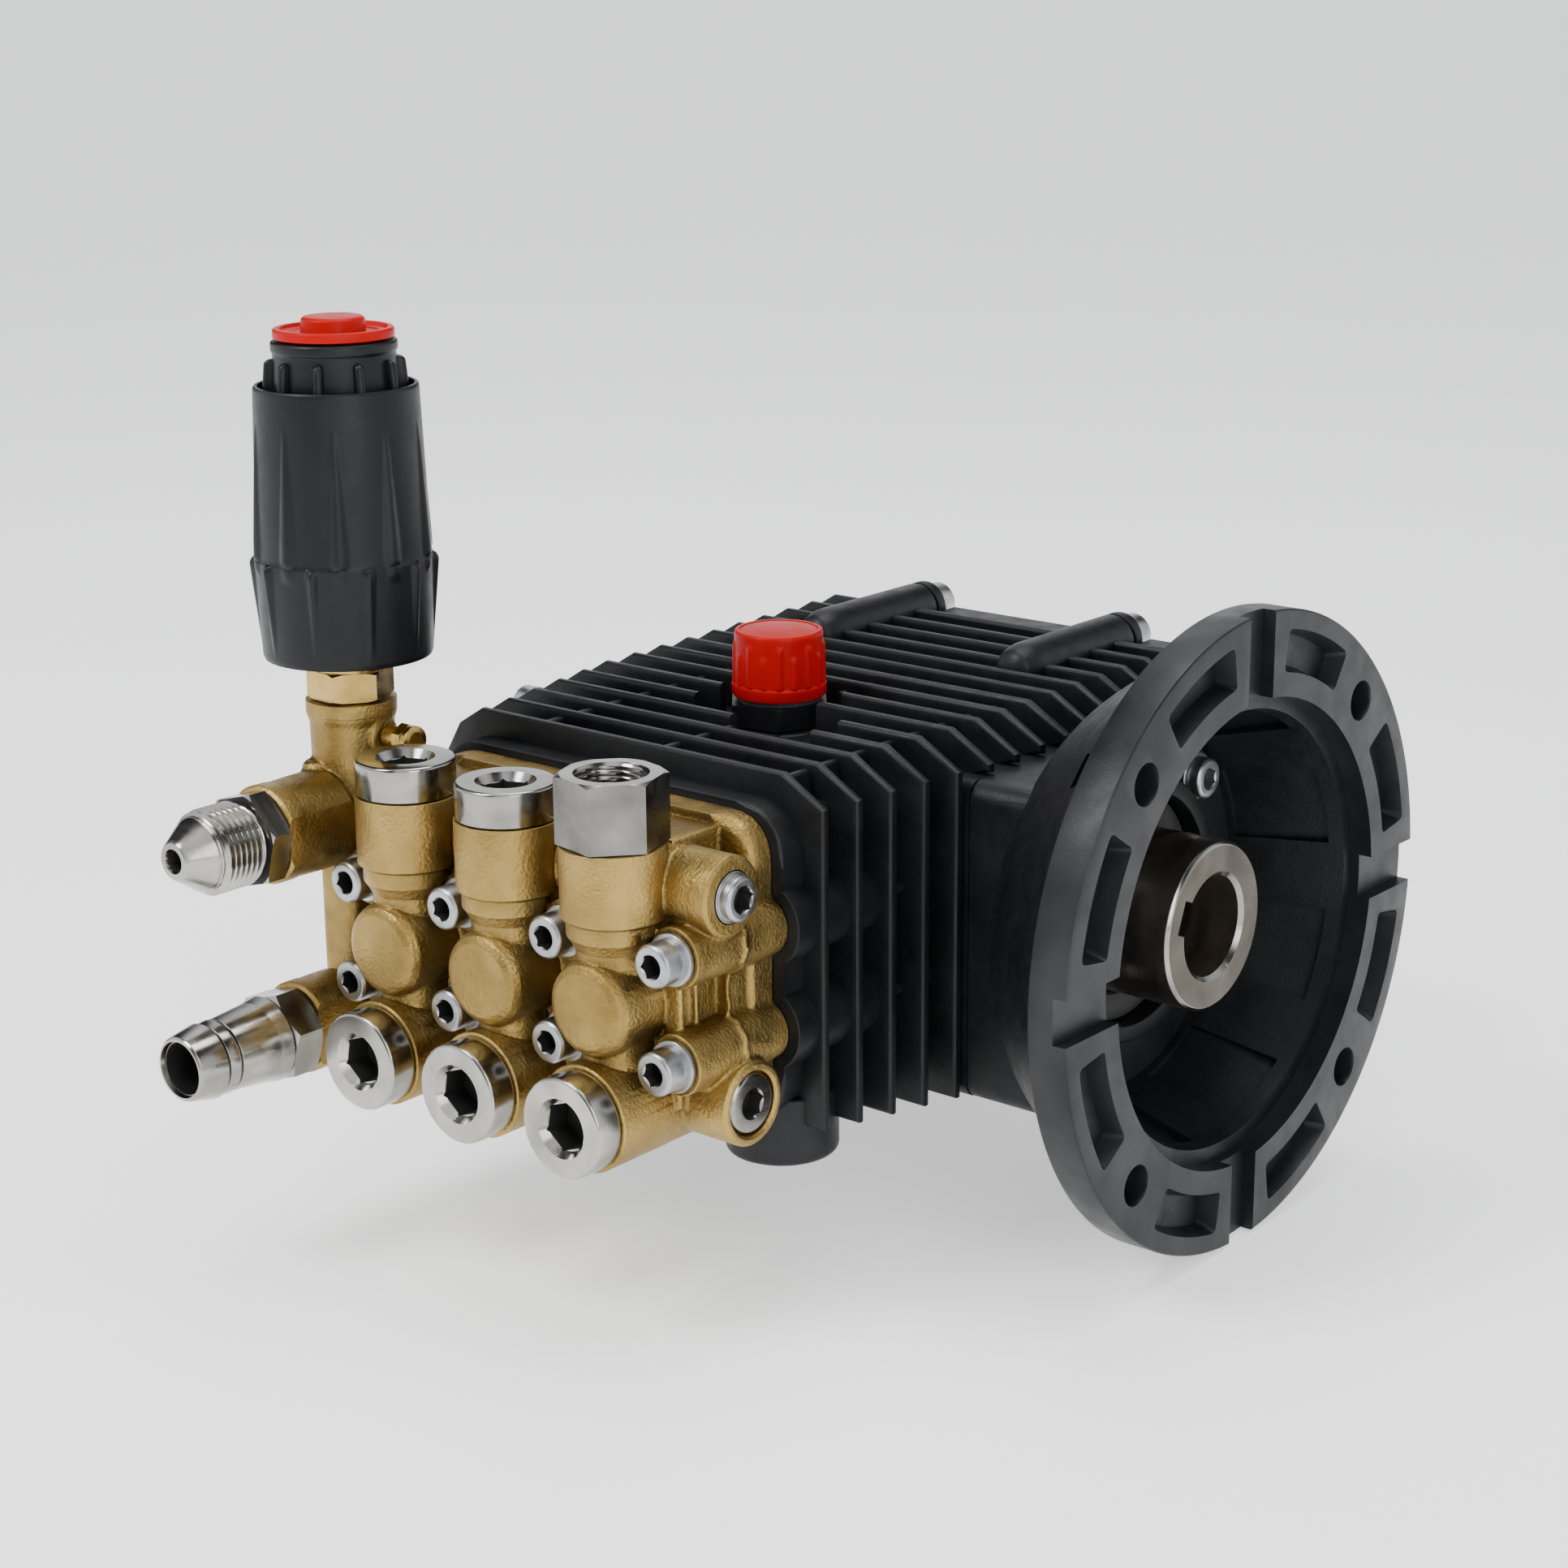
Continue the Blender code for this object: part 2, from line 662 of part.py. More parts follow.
def bearing(name, side):
    """A ball bearing as one solid, with the gap between its two races sunk in one face."""
    inner, outer = SHAFT_R + GAP, BEARING_R
    half, groove = BEARING_W / 2, 1.2 * MM
    race = 3.5 * MM
    profile = [
        (inner, half),
        (inner + race, half),
        (inner + race, half - groove),
        (outer - race, half - groove),
        (outer - race, half),
        (outer, half),
        (outer, -half),
        (inner, -half),
    ]
    at = (MID_X + side * (SIDE_X - half - 0.5 * MM), 0, 0)
    return as_part(turned(name, profile, at, (1, 0, 0), PARTS, SHAFT_SIDES), bearing_steel())


def shaft_seal():
    inner, outer = SHAFT_R + GAP, SEAL_R - GAP
    low, high = BELL_FLOOR_X - SEAL_DEPTH + GAP, BELL_FLOOR_X - 0.7 * MM
    profile = [
        (inner, high - 2 * MM),
        (inner + 1.5 * MM, high),
        (outer, high),
        (outer, low),
        (inner + 1.5 * MM, low),
        (inner, high - 5 * MM),
    ]
    return as_part(turned("shaft_seal", profile, (0, 0, 0), (1, 0, 0), PARTS, SHAFT_SIDES), rubber())


def conrod(number):
    """Big end round the eccentric, small end on its pin. It points along -Y from the crank throw."""
    x = cylinder_x(number)
    y, z = throw_of(number)
    half = (ECCENTRIC_W - 2 * MM) / 2
    hole = ECCENTRIC_R + GAP
    ring = [(hole, half), (hole + 4.6 * MM, half), (hole + 4.6 * MM, -half), (hole, -half)]
    rod_part = turned(f"conrod_{number}", ring, (x, y, z), (1, 0, 0), PARTS, SHAFT_SIDES)
    as_part(rod_part, aluminium())
    pin_y = PIN_Y + y
    shank = box(
        f"conrod_shank_{number}",
        (x - 4 * MM, pin_y + 3 * MM, z - 4 * MM),
        (x + 4 * MM, y - hole - 1 * MM, z + 4 * MM),
        CUTTERS,
    )
    at, across = (x, pin_y, z), (1, 0, 0)
    small = rod(f"conrod_small_end_{number}", 5.5 * MM, -4.5 * MM, 4.5 * MM, at, across, CUTTERS, 10)
    pin = rod(f"wrist_pin_{number}", 3 * MM, -8 * MM, 8 * MM, at, across, CUTTERS, 8)
    add(rod_part, shank, small, pin)
    return rod_part


def stroke_offset(number):
    """How far this cylinder's plunger stands from the middle of its stroke at rest."""
    return throw_of(number)[0]


def guide_piston(number):
    """A cup that slides in the crankcase. Its stem carries the plunger, under the head of the end screw."""
    front, rear = -GUIDE_FRONT_Y, -GUIDE_REAR_Y
    end = -PLUNGER_END_Y
    profile = [
        (0, end + 3.5 * MM),
        (STEM_R + 2.4 * MM, end + 3.5 * MM),
        (STEM_R + 2.4 * MM, end),
        (STEM_R - 1 * MM, end),
        (STEM_R - 1 * MM, end - 6 * MM),
        (STEM_R, end - 7 * MM),
        (STEM_R, front),
        (GUIDE_R, front),
        (GUIDE_R, rear),
        (GUIDE_INSIDE_R, rear),
        (GUIDE_INSIDE_R, front - GUIDE_FLOOR_T),
        (0, front - GUIDE_FLOOR_T),
    ]
    at = (cylinder_x(number), stroke_offset(number), 0)
    return as_part(turned(f"guide_piston_{number}", profile, at, (0, -1, 0), PARTS), bearing_steel())


def plunger(number):
    inside = STEM_R + GAP
    back, front = -GUIDE_FRONT_Y + GAP, -PLUNGER_END_Y - GAP
    profile = [(inside, front), (PLUNGER_R, front), (PLUNGER_R, back), (inside, back)]
    at = (cylinder_x(number), stroke_offset(number), 0)
    return as_part(turned(f"plunger_{number}", profile, at, (0, -1, 0), PARTS, 14), ceramic())


def ring(name, inner, outer, low, high, at, axis, finish, sides=14):
    profile = [(inner, high), (outer, high), (outer, low), (inner, low)]
    return as_part(turned(name, profile, at, axis, PARTS, sides), finish)


def oil_seal(number):
    at = (cylinder_x(number), 0, 0)
    low = -BOSS_Y - 6.7 * MM
    return ring(f"oil_seal_{number}", PLUNGER_R + GAP, 13 * MM, low, -BOSS_Y, at, (0, -1, 0), rubber())


def packing(number):
    at = (cylinder_x(number), 0, 0)
    low = -PLATE_Y[1] + GAP
    return ring(f"packing_{number}", PLUNGER_R + GAP, 12.4 * MM, low, low + 13 * MM, at, (0, -1, 0), rubber())


# ---------------------------------------------------------------- manifold


def manifold_cylinder(number):
    """The outside of one cylinder of the casting: suction, plunger and discharge barrels."""
    x = cylinder_x(number)
    front = (0, -1, 0)
    plate = -PLATE_Y[0] - 3 * MM
    low_z, top = -6 * MM, DISCHARGE_TOP_Z
    barrel = [
        (0, top),
        (DISCHARGE_R, top),
        (DISCHARGE_R, 18.8 * MM),
        (DISCHARGE_R - 1.4 * MM, 17.6 * MM),
        (DISCHARGE_R - 2.6 * MM, 12.2 * MM),
        (DISCHARGE_R - 2.6 * MM, low_z),
        (0, low_z),
    ]
    dome = [
        (0, -DOME_Y),
        (DOME_R * 0.55, -DOME_Y - 0.4 * MM),
        (DOME_R * 0.85, -DOME_Y - 2.2 * MM),
        (DOME_R, -DOME_Y - 6 * MM),
        (DOME_R, plate),
        (0, plate),
    ]
    suction_end = -SUCTION_FRONT_Y
    suction_at, neck_at = (x, 0, SUCTION_Z), (x, DISCHARGE_Y + 1 * MM, 0)
    return [
        turned(f"discharge_barrel_{number}", barrel, (x, DISCHARGE_Y, 0), (0, 0, 1), CUTTERS, 14),
        turned(f"plunger_barrel_{number}", dome, (x, 0, 0), front, CUTTERS, 14),
        rod(f"suction_barrel_{number}", SUCTION_R, plate, suction_end, suction_at, front, CUTTERS, 14),
        rod(f"suction_neck_{number}", 8 * MM, SUCTION_Z, 0, neck_at, (0, 0, 1), CUTTERS, 12),
    ]


def manifold_bores(number):
    """The stepped bores of one cylinder: plunger chamber, discharge valve and suction valve."""
    x = cylinder_x(number)
    front = (0, -1, 0)
    plate = -PLATE_Y[1]
    chamber = [
        (0, plate - PAST),
        (12.7 * MM, plate - PAST),
        (12.7 * MM, plate + 13.6 * MM),
        (9.6 * MM, plate + 13.6 * MM),
        (9.6 * MM, 123.5 * MM),
        (0, 123.5 * MM),
    ]
    discharge = [
        (0, 60 * MM),
        (DISCHARGE_BORE_R, 60 * MM),
        (DISCHARGE_BORE_R, 14 * MM),
        (5 * MM, 14 * MM),
        (5 * MM, SUCTION_Z + 2 * MM),
        (0, SUCTION_Z + 2 * MM),
    ]
    suction = [
        (0, 140 * MM),
        (SUCTION_BORE_R, 140 * MM),
        (SUCTION_BORE_R, 111 * MM),
        (5 * MM, 111 * MM),
        (5 * MM, 104 * MM),
        (0, 104 * MM),
    ]
    return [
        turned(f"chamber_{number}", chamber, (x, 0, 0), front, CUTTERS, 14),
        turned(f"discharge_bore_{number}", discharge, (x, DISCHARGE_Y, 0), (0, 0, 1), CUTTERS, 14),
        turned(f"suction_bore_{number}", suction, (x, 0, SUCTION_Z), front, CUTTERS, 14),
    ]


def manifold():
    body = box(
        "manifold",
        (MID_X - PLATE_HALF_X, PLATE_Y[0], PLATE_Z[0]),
        (MID_X + PLATE_HALF_X, PLATE_Y[1], PLATE_Z[1]),
        PARTS,
        PLATE_CORNER_R,
        1,
    )
    as_part(body, brass(), smooth=False)
    web_low = (MID_X - PITCH - 12 * MM, DISCHARGE_Y + 6 * MM, SUCTION_Z)
    web_high = (MID_X + PITCH + 12 * MM, PLATE_Y[0] + 2 * MM, DISCHARGE_GALLERY[1])
    add(body, box("web", web_low, web_high, CUTTERS))
    wall_low = (MID_X - WALL_HALF_X, WALL_Y, -BOLT_Z)
    wall_high = (MID_X + WALL_HALF_X, PLATE_Y[0] + 2 * MM, BOLT_Z)
    add(body, box("side_wall", wall_low, wall_high, CUTTERS))
    for number in CYLINDERS:
        add(body, *manifold_cylinder(number))
    for x in BOLT_X:
        for z in (-BOLT_Z, BOLT_Z):
            at = (MID_X + x, 0, z)
            reach = -BOLT_HEAD_Y - 1.5 * MM
            name = f"bolt_boss_{x:.3f}_{z:.3f}"
            add(body, rod(name, LOBE_R, -PLATE_Y[1], reach, at, (0, -1, 0), CUTTERS, 10))
    galleries = (
        ("discharge_gallery", DISCHARGE_GALLERY, DISCHARGE_GALLERY_R, DISCHARGE_GALLERY_X),
        ("suction_gallery", SUCTION_GALLERY, SUCTION_GALLERY_R, SUCTION_GALLERY_X),
    )
    for name, (y, z), radius, end in galleries:
        add(body, rod(name, radius, GALLERY_FAR_X, end, (0, y, z), (1, 0, 0), CUTTERS, 14))
    for number in CYLINDERS:
        cut(body, *manifold_bores(number))
    for name, axis_yz, _, end in galleries:
        cut(body, gallery_bore(name, axis_yz, end))
    for x in BOLT_X:
        for z in (-BOLT_Z, BOLT_Z):
            at = (MID_X + x, 0, z)
            name = f"bolt_way_{x:.3f}_{z:.3f}"
            cut(body, rod(name, BOLT_R + GAP, 85 * MM, 125 * MM, at, (0, -1, 0), CUTTERS, 8))
    return body


def gallery_bore(name, axis_yz, end):
    """A gallery's bore right through the casting, wider where the suction gallery's plug is sunk in it."""
    seat = PLUG_SEAT_R if name == "suction_gallery" else GALLERY_BORE_R
    profile = [
        (0, end + PAST),
        (seat, end + PAST),
        (seat, end - PLUG_SEAT_DEPTH),
        (GALLERY_BORE_R, end - PLUG_SEAT_DEPTH),
        (GALLERY_BORE_R, GALLERY_FAR_X - PAST),
        (0, GALLERY_FAR_X - PAST),
    ]
    return turned(f"{name}_bore", profile, (0, *axis_yz), (1, 0, 0), CUTTERS, 10)


def socket(name, across_flats, low, high, to_world):
    return prism(name, hexagon(across_flats), low, high, to_world, CUTTERS)


def suction_cap(number):
    """Screws into the front of a suction barrel. The hex socket is in a wide cone."""
    x = cylinder_x(number)
    seat, face = -SUCTION_FRONT_Y + GAP, 139.5 * MM
    profile = [
        (0, face - 1.6 * MM),
        (5.6 * MM, face - 1.6 * MM),
        (7.2 * MM, face),
        (CAP_R - 0.6 * MM, face),
        (CAP_R, face - 0.6 * MM),
        (CAP_R, seat),
        (SUCTION_BORE_R - GAP, seat),
        (SUCTION_BORE_R - GAP, seat - 9 * MM),
        (0, seat - 9 * MM),
    ]
    cap = turned(f"suction_cap_{number}", profile, (x, 0, SUCTION_Z), (0, -1, 0), PARTS)
    as_part(cap, steel())
    to_world = along_y(x, SUCTION_Z)
    cut(cap, socket(f"suction_cap_socket_{number}", 10 * MM, -face - PAST, -face + 8 * MM, to_world))
    return cap


def discharge_cap(number):
    """Screws into the top of a discharge barrel."""
    x = cylinder_x(number)
    seat, face = DISCHARGE_TOP_Z + GAP, 43.5 * MM
    profile = [
        (0, face - 1.6 * MM),
        (5.6 * MM, face - 1.6 * MM),
        (7.2 * MM, face),
        (CAP_R - 0.6 * MM, face),
        (CAP_R, face - 0.6 * MM),
        (CAP_R, seat),
        (DISCHARGE_BORE_R - GAP, seat),
        (DISCHARGE_BORE_R - GAP, seat - 9 * MM),
        (0, seat - 9 * MM),
    ]
    cap = turned(f"discharge_cap_{number}", profile, (x, DISCHARGE_Y, 0), (0, 0, 1), PARTS)
    as_part(cap, steel())
    to_world = along_z(x, DISCHARGE_Y)
    cut(cap, socket(f"discharge_cap_socket_{number}", 10 * MM, face - 8 * MM, face + PAST, to_world))
    return cap


def gauge_fitting():
    """The tall hexagon on the near discharge barrel, with a threaded port for a gauge."""
    x = cylinder_x(1)
    seat, face = DISCHARGE_TOP_Z + GAP, 50.7 * MM
    to_world = along_z(x, DISCHARGE_Y)
    fitting = prism("gauge_fitting", hexagon(21.5 * MM, 8), seat, face, to_world, PARTS)
    as_part(fitting, steel(), smooth=False)
    at = (x, DISCHARGE_Y, 0)
    tail_r = DISCHARGE_BORE_R - GAP
    add(fitting, rod("gauge_tail", tail_r, seat - 8 * MM, seat + 2 * MM, at, (0, 0, 1), CUTTERS, 14))
    cut(
        fitting,
        rod("gauge_port", 7.4 * MM, seat + 1 * MM, face + PAST, at, (0, 0, 1), CUTTERS, 14),
        rod("gauge_way", 3 * MM, seat - 12 * MM, face, at, (0, 0, 1), CUTTERS, 14),
    )
    return fitting


def suction_valve(number):
    """The poppet of a suction valve, closed: it opens along -Y, away from its seat."""
    at = (cylinder_x(number), 0, SUCTION_Z)
    profile = [
        (0, 114.6 * MM),
        (6.8 * MM, 114.6 * MM),
        (6.8 * MM, 113.0 * MM),
        (6.0 * MM, 111.3 * MM),
        (2.0 * MM, 111.3 * MM),
        (2.0 * MM, 106.0 * MM),
        (0, 106.0 * MM),
    ]
    return as_part(turned(f"suction_valve_{number}", profile, at, (0, -1, 0), PARTS, 12), bearing_steel())


def discharge_valve(number):
    """The poppet of a discharge valve, closed: it opens upwards."""
    at = (cylinder_x(number), DISCHARGE_Y, 0)
    profile = [
        (0, 17.6 * MM),
        (6.8 * MM, 17.6 * MM),
        (6.8 * MM, 16.0 * MM),
        (6.0 * MM, 14.3 * MM),
        (2.0 * MM, 14.3 * MM),
        (2.0 * MM, 10.5 * MM),
        (0, 10.5 * MM),
    ]
    return as_part(turned(f"discharge_valve_{number}", profile, at, (0, 0, 1), PARTS, 12), bearing_steel())


def head_bolt(index, x, z):
    """A socket-head screw through the manifold into the crankcase, with its washer as one solid."""
    seat = -BOLT_HEAD_Y
    washer = 1.2 * MM
    profile = [
        (0, seat + BOLT_HEAD_H),
        (BOLT_HEAD_R, seat + BOLT_HEAD_H),
        (BOLT_HEAD_R, seat - washer),
        (BOLT_R, seat - washer),
        (BOLT_R, 74 * MM),
        (0, 74 * MM),
    ]
    bolt = turned(f"head_bolt_{index}", profile, (MID_X + x, 0, z), (0, -1, 0), PARTS, 8)
    as_part(bolt, zinc())
    top = -seat - BOLT_HEAD_H
    to_world = along_y(MID_X + x, z)
    cut(bolt, socket(f"head_bolt_socket_{index}", 5 * MM, top - PAST, top + 3.2 * MM, to_world))
    return bolt


def gallery_plug(name, axis_yz, radius, seat, face):
    """A socket plug in the motor-side end of a gallery. Its head stands on the seat."""
    thread_r = GALLERY_BORE_R - GAP
    profile = [
        (0, face),
        (radius - 0.5 * MM, face),
        (radius, face - 0.5 * MM),
        (radius, seat + GAP),
        (thread_r, seat + GAP),
        (thread_r, seat - 7 * MM),
        (0, seat - 7 * MM),
    ]
    plug = turned(name, profile, (0, *axis_yz), (1, 0, 0), PARTS, 10)
    as_part(plug, steel())
    cut(plug, socket(f"{name}_socket", 5.5 * MM, face - 4 * MM, face + PAST, along_x(*axis_yz)))
    return plug


def gallery_plugs():
    high, low = DISCHARGE_GALLERY_X, SUCTION_GALLERY_X
    gallery_plug("discharge_gallery_plug", DISCHARGE_GALLERY, 5.0 * MM, high, high + 3 * MM)
    sunk = PLUG_SEAT_R - GAP
    gallery_plug("suction_gallery_plug", SUCTION_GALLERY, sunk, low - PLUG_SEAT_DEPTH, low - 0.3 * MM)


# ---------------------------------------------------------------- unloader and hose connections


def front_barrel(name, x, z, radius, rear_r, front_y):
    """A horizontal barrel of the block: thick in front of the manifold's bolts, and thinner beside them."""
    step, end = 119.8 * MM, 99.5 * MM
    profile = [(0, -front_y), (radius, -front_y), (radius, step), (rear_r, step), (rear_r, end), (0, end)]
    return turned(name, profile, (x, 0, z), (0, -1, 0), CUTTERS, 14)


def unloader_block():
    """The casting on the far end of both galleries: regulator, outlet and inlet."""
    x, y = UNLOADER_X, UNLOADER_Y
    inner_x = GALLERY_FAR_X - GAP
    tower = [
        (0, 50.5 * MM),
        (10.6 * MM, 50.5 * MM),
        (10.6 * MM, 45.0 * MM),
        (9.9 * MM, 44.0 * MM),
        (9.9 * MM, 19.4 * MM),
        (0, 19.4 * MM),
    ]
    block = turned("unloader_block", tower, (x, y, 0), (0, 0, 1), PARTS, 14)
    as_part(block, brass())
    front, right = (0, -1, 0), (1, 0, 0)
    leg_low = (x - 7 * MM, y - 8 * MM, SUCTION_Z)
    leg_high = (x + 5.2 * MM, y + 8 * MM, 24 * MM)
    joint_y, joint_z = SUCTION_GALLERY
    add(
        block,
        front_barrel("outlet_barrel", x, OUTLET_Z, 11.6 * MM, 8.5 * MM, OUTLET_Y),
        front_barrel("inlet_barrel", INLET_X, SUCTION_Z, 11.0 * MM, 7.7 * MM, INLET_Y),
        box("block_leg", leg_low, leg_high, CUTTERS, 2 * MM, 2),
        rod("block_low_joint", 5.8 * MM, x, inner_x, (0, joint_y, joint_z), right, CUTTERS, 14),
    )
    regulator = [
        (0, 60 * MM),
        (7.2 * MM, 60 * MM),
        (7.2 * MM, 16 * MM),
        (4.0 * MM, 16 * MM),
        (4.0 * MM, SUCTION_Z + 1.7 * MM),
        (0, SUCTION_Z + 1.7 * MM),
    ]
    way_end = inner_x + PAST
    cut(
        block,
        turned("regulator_bore", regulator, (x, y, 0), (0, 0, 1), CUTTERS, 14),
        rod("outlet_bore", 7.0 * MM, -y - 1.1 * MM, 150 * MM, (x, 0, OUTLET_Z), front, CUTTERS, 14),
        rod("inlet_bore", 7.4 * MM, -y - 2.3 * MM, 150 * MM, (INLET_X, 0, SUCTION_Z), front, CUTTERS, 14),
        rod("block_high_way", 4.5 * MM, x, way_end, (0, *DISCHARGE_GALLERY), right, CUTTERS, 12),
        rod("block_low_way", 4.2 * MM, x, way_end, (0, joint_y, joint_z), right, CUTTERS, 12),
    )
    return block


def unloader_nut():
    """The hexagon gland on the block. The knob screws on its neck."""
    at = (UNLOADER_X, UNLOADER_Y, 0)
    seat = 50.5 * MM + GAP
    nut = prism("unloader_nut", hexagon(17.4 * MM, 8), seat, 57.5 * MM, along_z(at[0], at[1]), PARTS)
    as_part(nut, brass(), smooth=False)
    add(
        nut,
        rod("nut_neck", 8.6 * MM, 56 * MM, 80 * MM, at, (0, 0, 1), CUTTERS, 14),
        rod("nut_tail", 6.9 * MM, 40 * MM, 52 * MM, at, (0, 0, 1), CUTTERS, 14),
    )
    cut(nut, rod("nut_way", 3.3 * MM, 38 * MM, 82 * MM, at, (0, 0, 1), CUTTERS, 12))
    return nut


def unloader_piston():
    """Valve, piston and stem of the unloader, closed on its seat. Its top disc carries the spring."""
    profile = [
        (0, 86.0 * MM),
        (6.6 * MM, 86.0 * MM),
        (6.6 * MM, 84.0 * MM),
        (2.9 * MM, 83.0 * MM),
        (2.9 * MM, 34.0 * MM),
        (6.8 * MM, 34.0 * MM),
        (6.8 * MM, 27.0 * MM),
        (3.2 * MM, 25.0 * MM),
        (3.2 * MM, 19.0 * MM),
        (5.6 * MM, 18.0 * MM),
        (5.6 * MM, 16.3 * MM),
        (0, 16.3 * MM),
    ]
    at = (UNLOADER_X, UNLOADER_Y, 0)
    return as_part(turned("unloader_piston", profile, at, (0, 0, 1), PARTS, 14), bearing_steel())


def unloader_spring():
    """The coil between the piston's disc and the washer under the knob."""
    wire, middle_r, turns = 1.3 * MM, 6.2 * MM, 5
    low, high = 86.0 * MM + wire + GAP, 119.4 * MM - wire
    steps = turns * 8
    spline_points = []
    for i in range(steps + 1):
        angle = 2 * math.pi * i / 8
        height = low + (high - low) * i / steps
        spline_points.append((middle_r * math.cos(angle), middle_r * math.sin(angle), height, 1.0))
    curve = bpy.data.curves.new("unloader_spring", "CURVE")
    curve.dimensions = "3D"
    spline = curve.splines.new("POLY")
    spline.points.add(len(spline_points) - 1)
    for point, co in zip(spline.points, spline_points):
        point.co = co
    curve.bevel_depth = wire
    curve.bevel_resolution = 0
    curve.use_fill_caps = True
    obj = bpy.data.objects.new("unloader_spring", curve)
    obj.location = (UNLOADER_X, UNLOADER_Y, 0)
    PARTS.objects.link(obj)
    curve.materials.append(bearing_steel())
    return obj


def spring_washer():
    """The disc between the spring and the knob. It goes up and down with the knob and doesn't turn."""
    at = (UNLOADER_X, UNLOADER_Y, 0)
    low, high = 119.4 * MM + GAP, 122.0 * MM
    profile = [(0, high), (9.2 * MM, high), (9.2 * MM, low), (0, low)]
    return as_part(turned("spring_washer", profile, at, (0, 0, 1), PARTS, 14), bearing_steel())


def knob_core():
    """The inner part of the knob, threaded on the nut's neck. Its ribbed top stands above the sleeve."""
    at = (UNLOADER_X, UNLOADER_Y, 0)
    profile = [
        (0, 133.4 * MM),
        (14.2 * MM, 133.4 * MM),
        (14.4 * MM, 122.0 * MM),
        (14.4 * MM, 66.0 * MM),
        (9.0 * MM, 66.0 * MM),
        (9.0 * MM, 82.0 * MM),
        (9.8 * MM, 84.0 * MM),
        (9.8 * MM, 122.3 * MM),
        (0, 122.3 * MM),
    ]
    core = turned("knob_core", profile, at, (0, 0, 1), PARTS)
    as_part(core, black_plastic())
    for i in range(CORE_RIBS):
        rib_low, rib_high = (13.5 * MM, -0.9 * MM, 118 * MM), (16.8 * MM, 0.9 * MM, 129 * MM)
        rib = box(f"core_rib_{i}", rib_low, rib_high, CUTTERS)
        rib.data.transform(Matrix.Translation(rib.location))
        rib.data.transform(Matrix.Rotation(2 * math.pi * i / CORE_RIBS, 4, "Z"))
        rib.location = at
        add(core, rib)
    return core


def knob_sleeve():
    """The outer grip of the knob: a flared sleeve over a skirt."""
    at = (UNLOADER_X, UNLOADER_Y, 0)
    profile = [
        (17.5 * MM, 123.4 * MM),
        (18.7 * MM, 123.4 * MM),
        (19.9 * MM, 98.6 * MM),
        (20.6 * MM, 86.0 * MM),
        (21.7 * MM, 83.0 * MM),
        (21.0 * MM, 80.0 * MM),
        (19.6 * MM, 60.9 * MM),
        (17.0 * MM, 60.9 * MM),
        (17.0 * MM, 65.0 * MM),
        (14.7 * MM, 66.0 * MM),
        (14.7 * MM, 116.0 * MM),
        (17.5 * MM, 117.0 * MM),
    ]
    return as_part(turned("knob_sleeve", profile, at, (0, 0, 1), PARTS, 16), black_plastic())


def knob_cap():
    """The red cap: a flanged disc with a button in its middle."""
    at = (UNLOADER_X, UNLOADER_Y, 0)
    seat = 133.4 * MM + GAP
    profile = [
        (0, 138.6 * MM),
        (6.8 * MM, 138.6 * MM),
        (7.3 * MM, 138.1 * MM),
        (7.3 * MM, 135.6 * MM),
        (12.4 * MM, 135.6 * MM),
        (12.8 * MM, 136.2 * MM),
        (13.7 * MM, 136.0 * MM),
        (13.7 * MM, seat),
        (0, seat),
    ]
    return as_part(turned("knob_cap", profile, at, (0, 0, 1), PARTS), red_plastic())


def bypass_screw():
    """The small plug on the side of the regulator tower."""
    at = (UNLOADER_X, UNLOADER_Y + 1 * MM, 42.6 * MM)
    start = 10.9 * MM
    profile = [
        (0, start + 9.5 * MM),
        (3.4 * MM, start + 9.5 * MM),
        (3.4 * MM, start + 7.5 * MM),
        (2.4 * MM, start + 7.0 * MM),
        (2.4 * MM, start),
        (0, start),
    ]
    return as_part(turned("bypass_screw", profile, at, (1, 0, 0), PARTS, 12), brass())


def outlet_nipple():
    """The high-pressure outlet: hexagon, thread and cone, with a small bore."""
    at = (UNLOADER_X, 0, OUTLET_Z)
    seat = -OUTLET_Y + GAP
    profile = [
        (2.4 * MM, 164.2 * MM),
        (4.3 * MM, 164.2 * MM),
        (8.3 * MM, 157.5 * MM),
        (9.6 * MM, 157.0 * MM),
        (9.9 * MM, 156.6 * MM),
        (9.9 * MM, 145.6 * MM),
        (8.8 * MM, 145.0 * MM),
        (8.8 * MM, seat + 1 * MM),
        (6.7 * MM, seat + 1 * MM),
        (6.7 * MM, seat - 9 * MM),
        (2.4 * MM, seat - 9 * MM),
    ]
    nipple = turned("outlet_nipple", profile, at, (0, -1, 0), PARTS)
    as_part(nipple, steel())
    to_world = along_y(at[0], at[2])
    nut = prism("nipple_hexagon", hexagon(20.5 * MM, 15), -seat - 5.6 * MM, -seat, to_world, CUTTERS)
    cut(nut, rod("nipple_hexagon_way", 4 * MM, seat - 3 * MM, seat + 9 * MM, at, (0, -1, 0), CUTTERS, 12))
    add(nipple, nut)
    return nipple


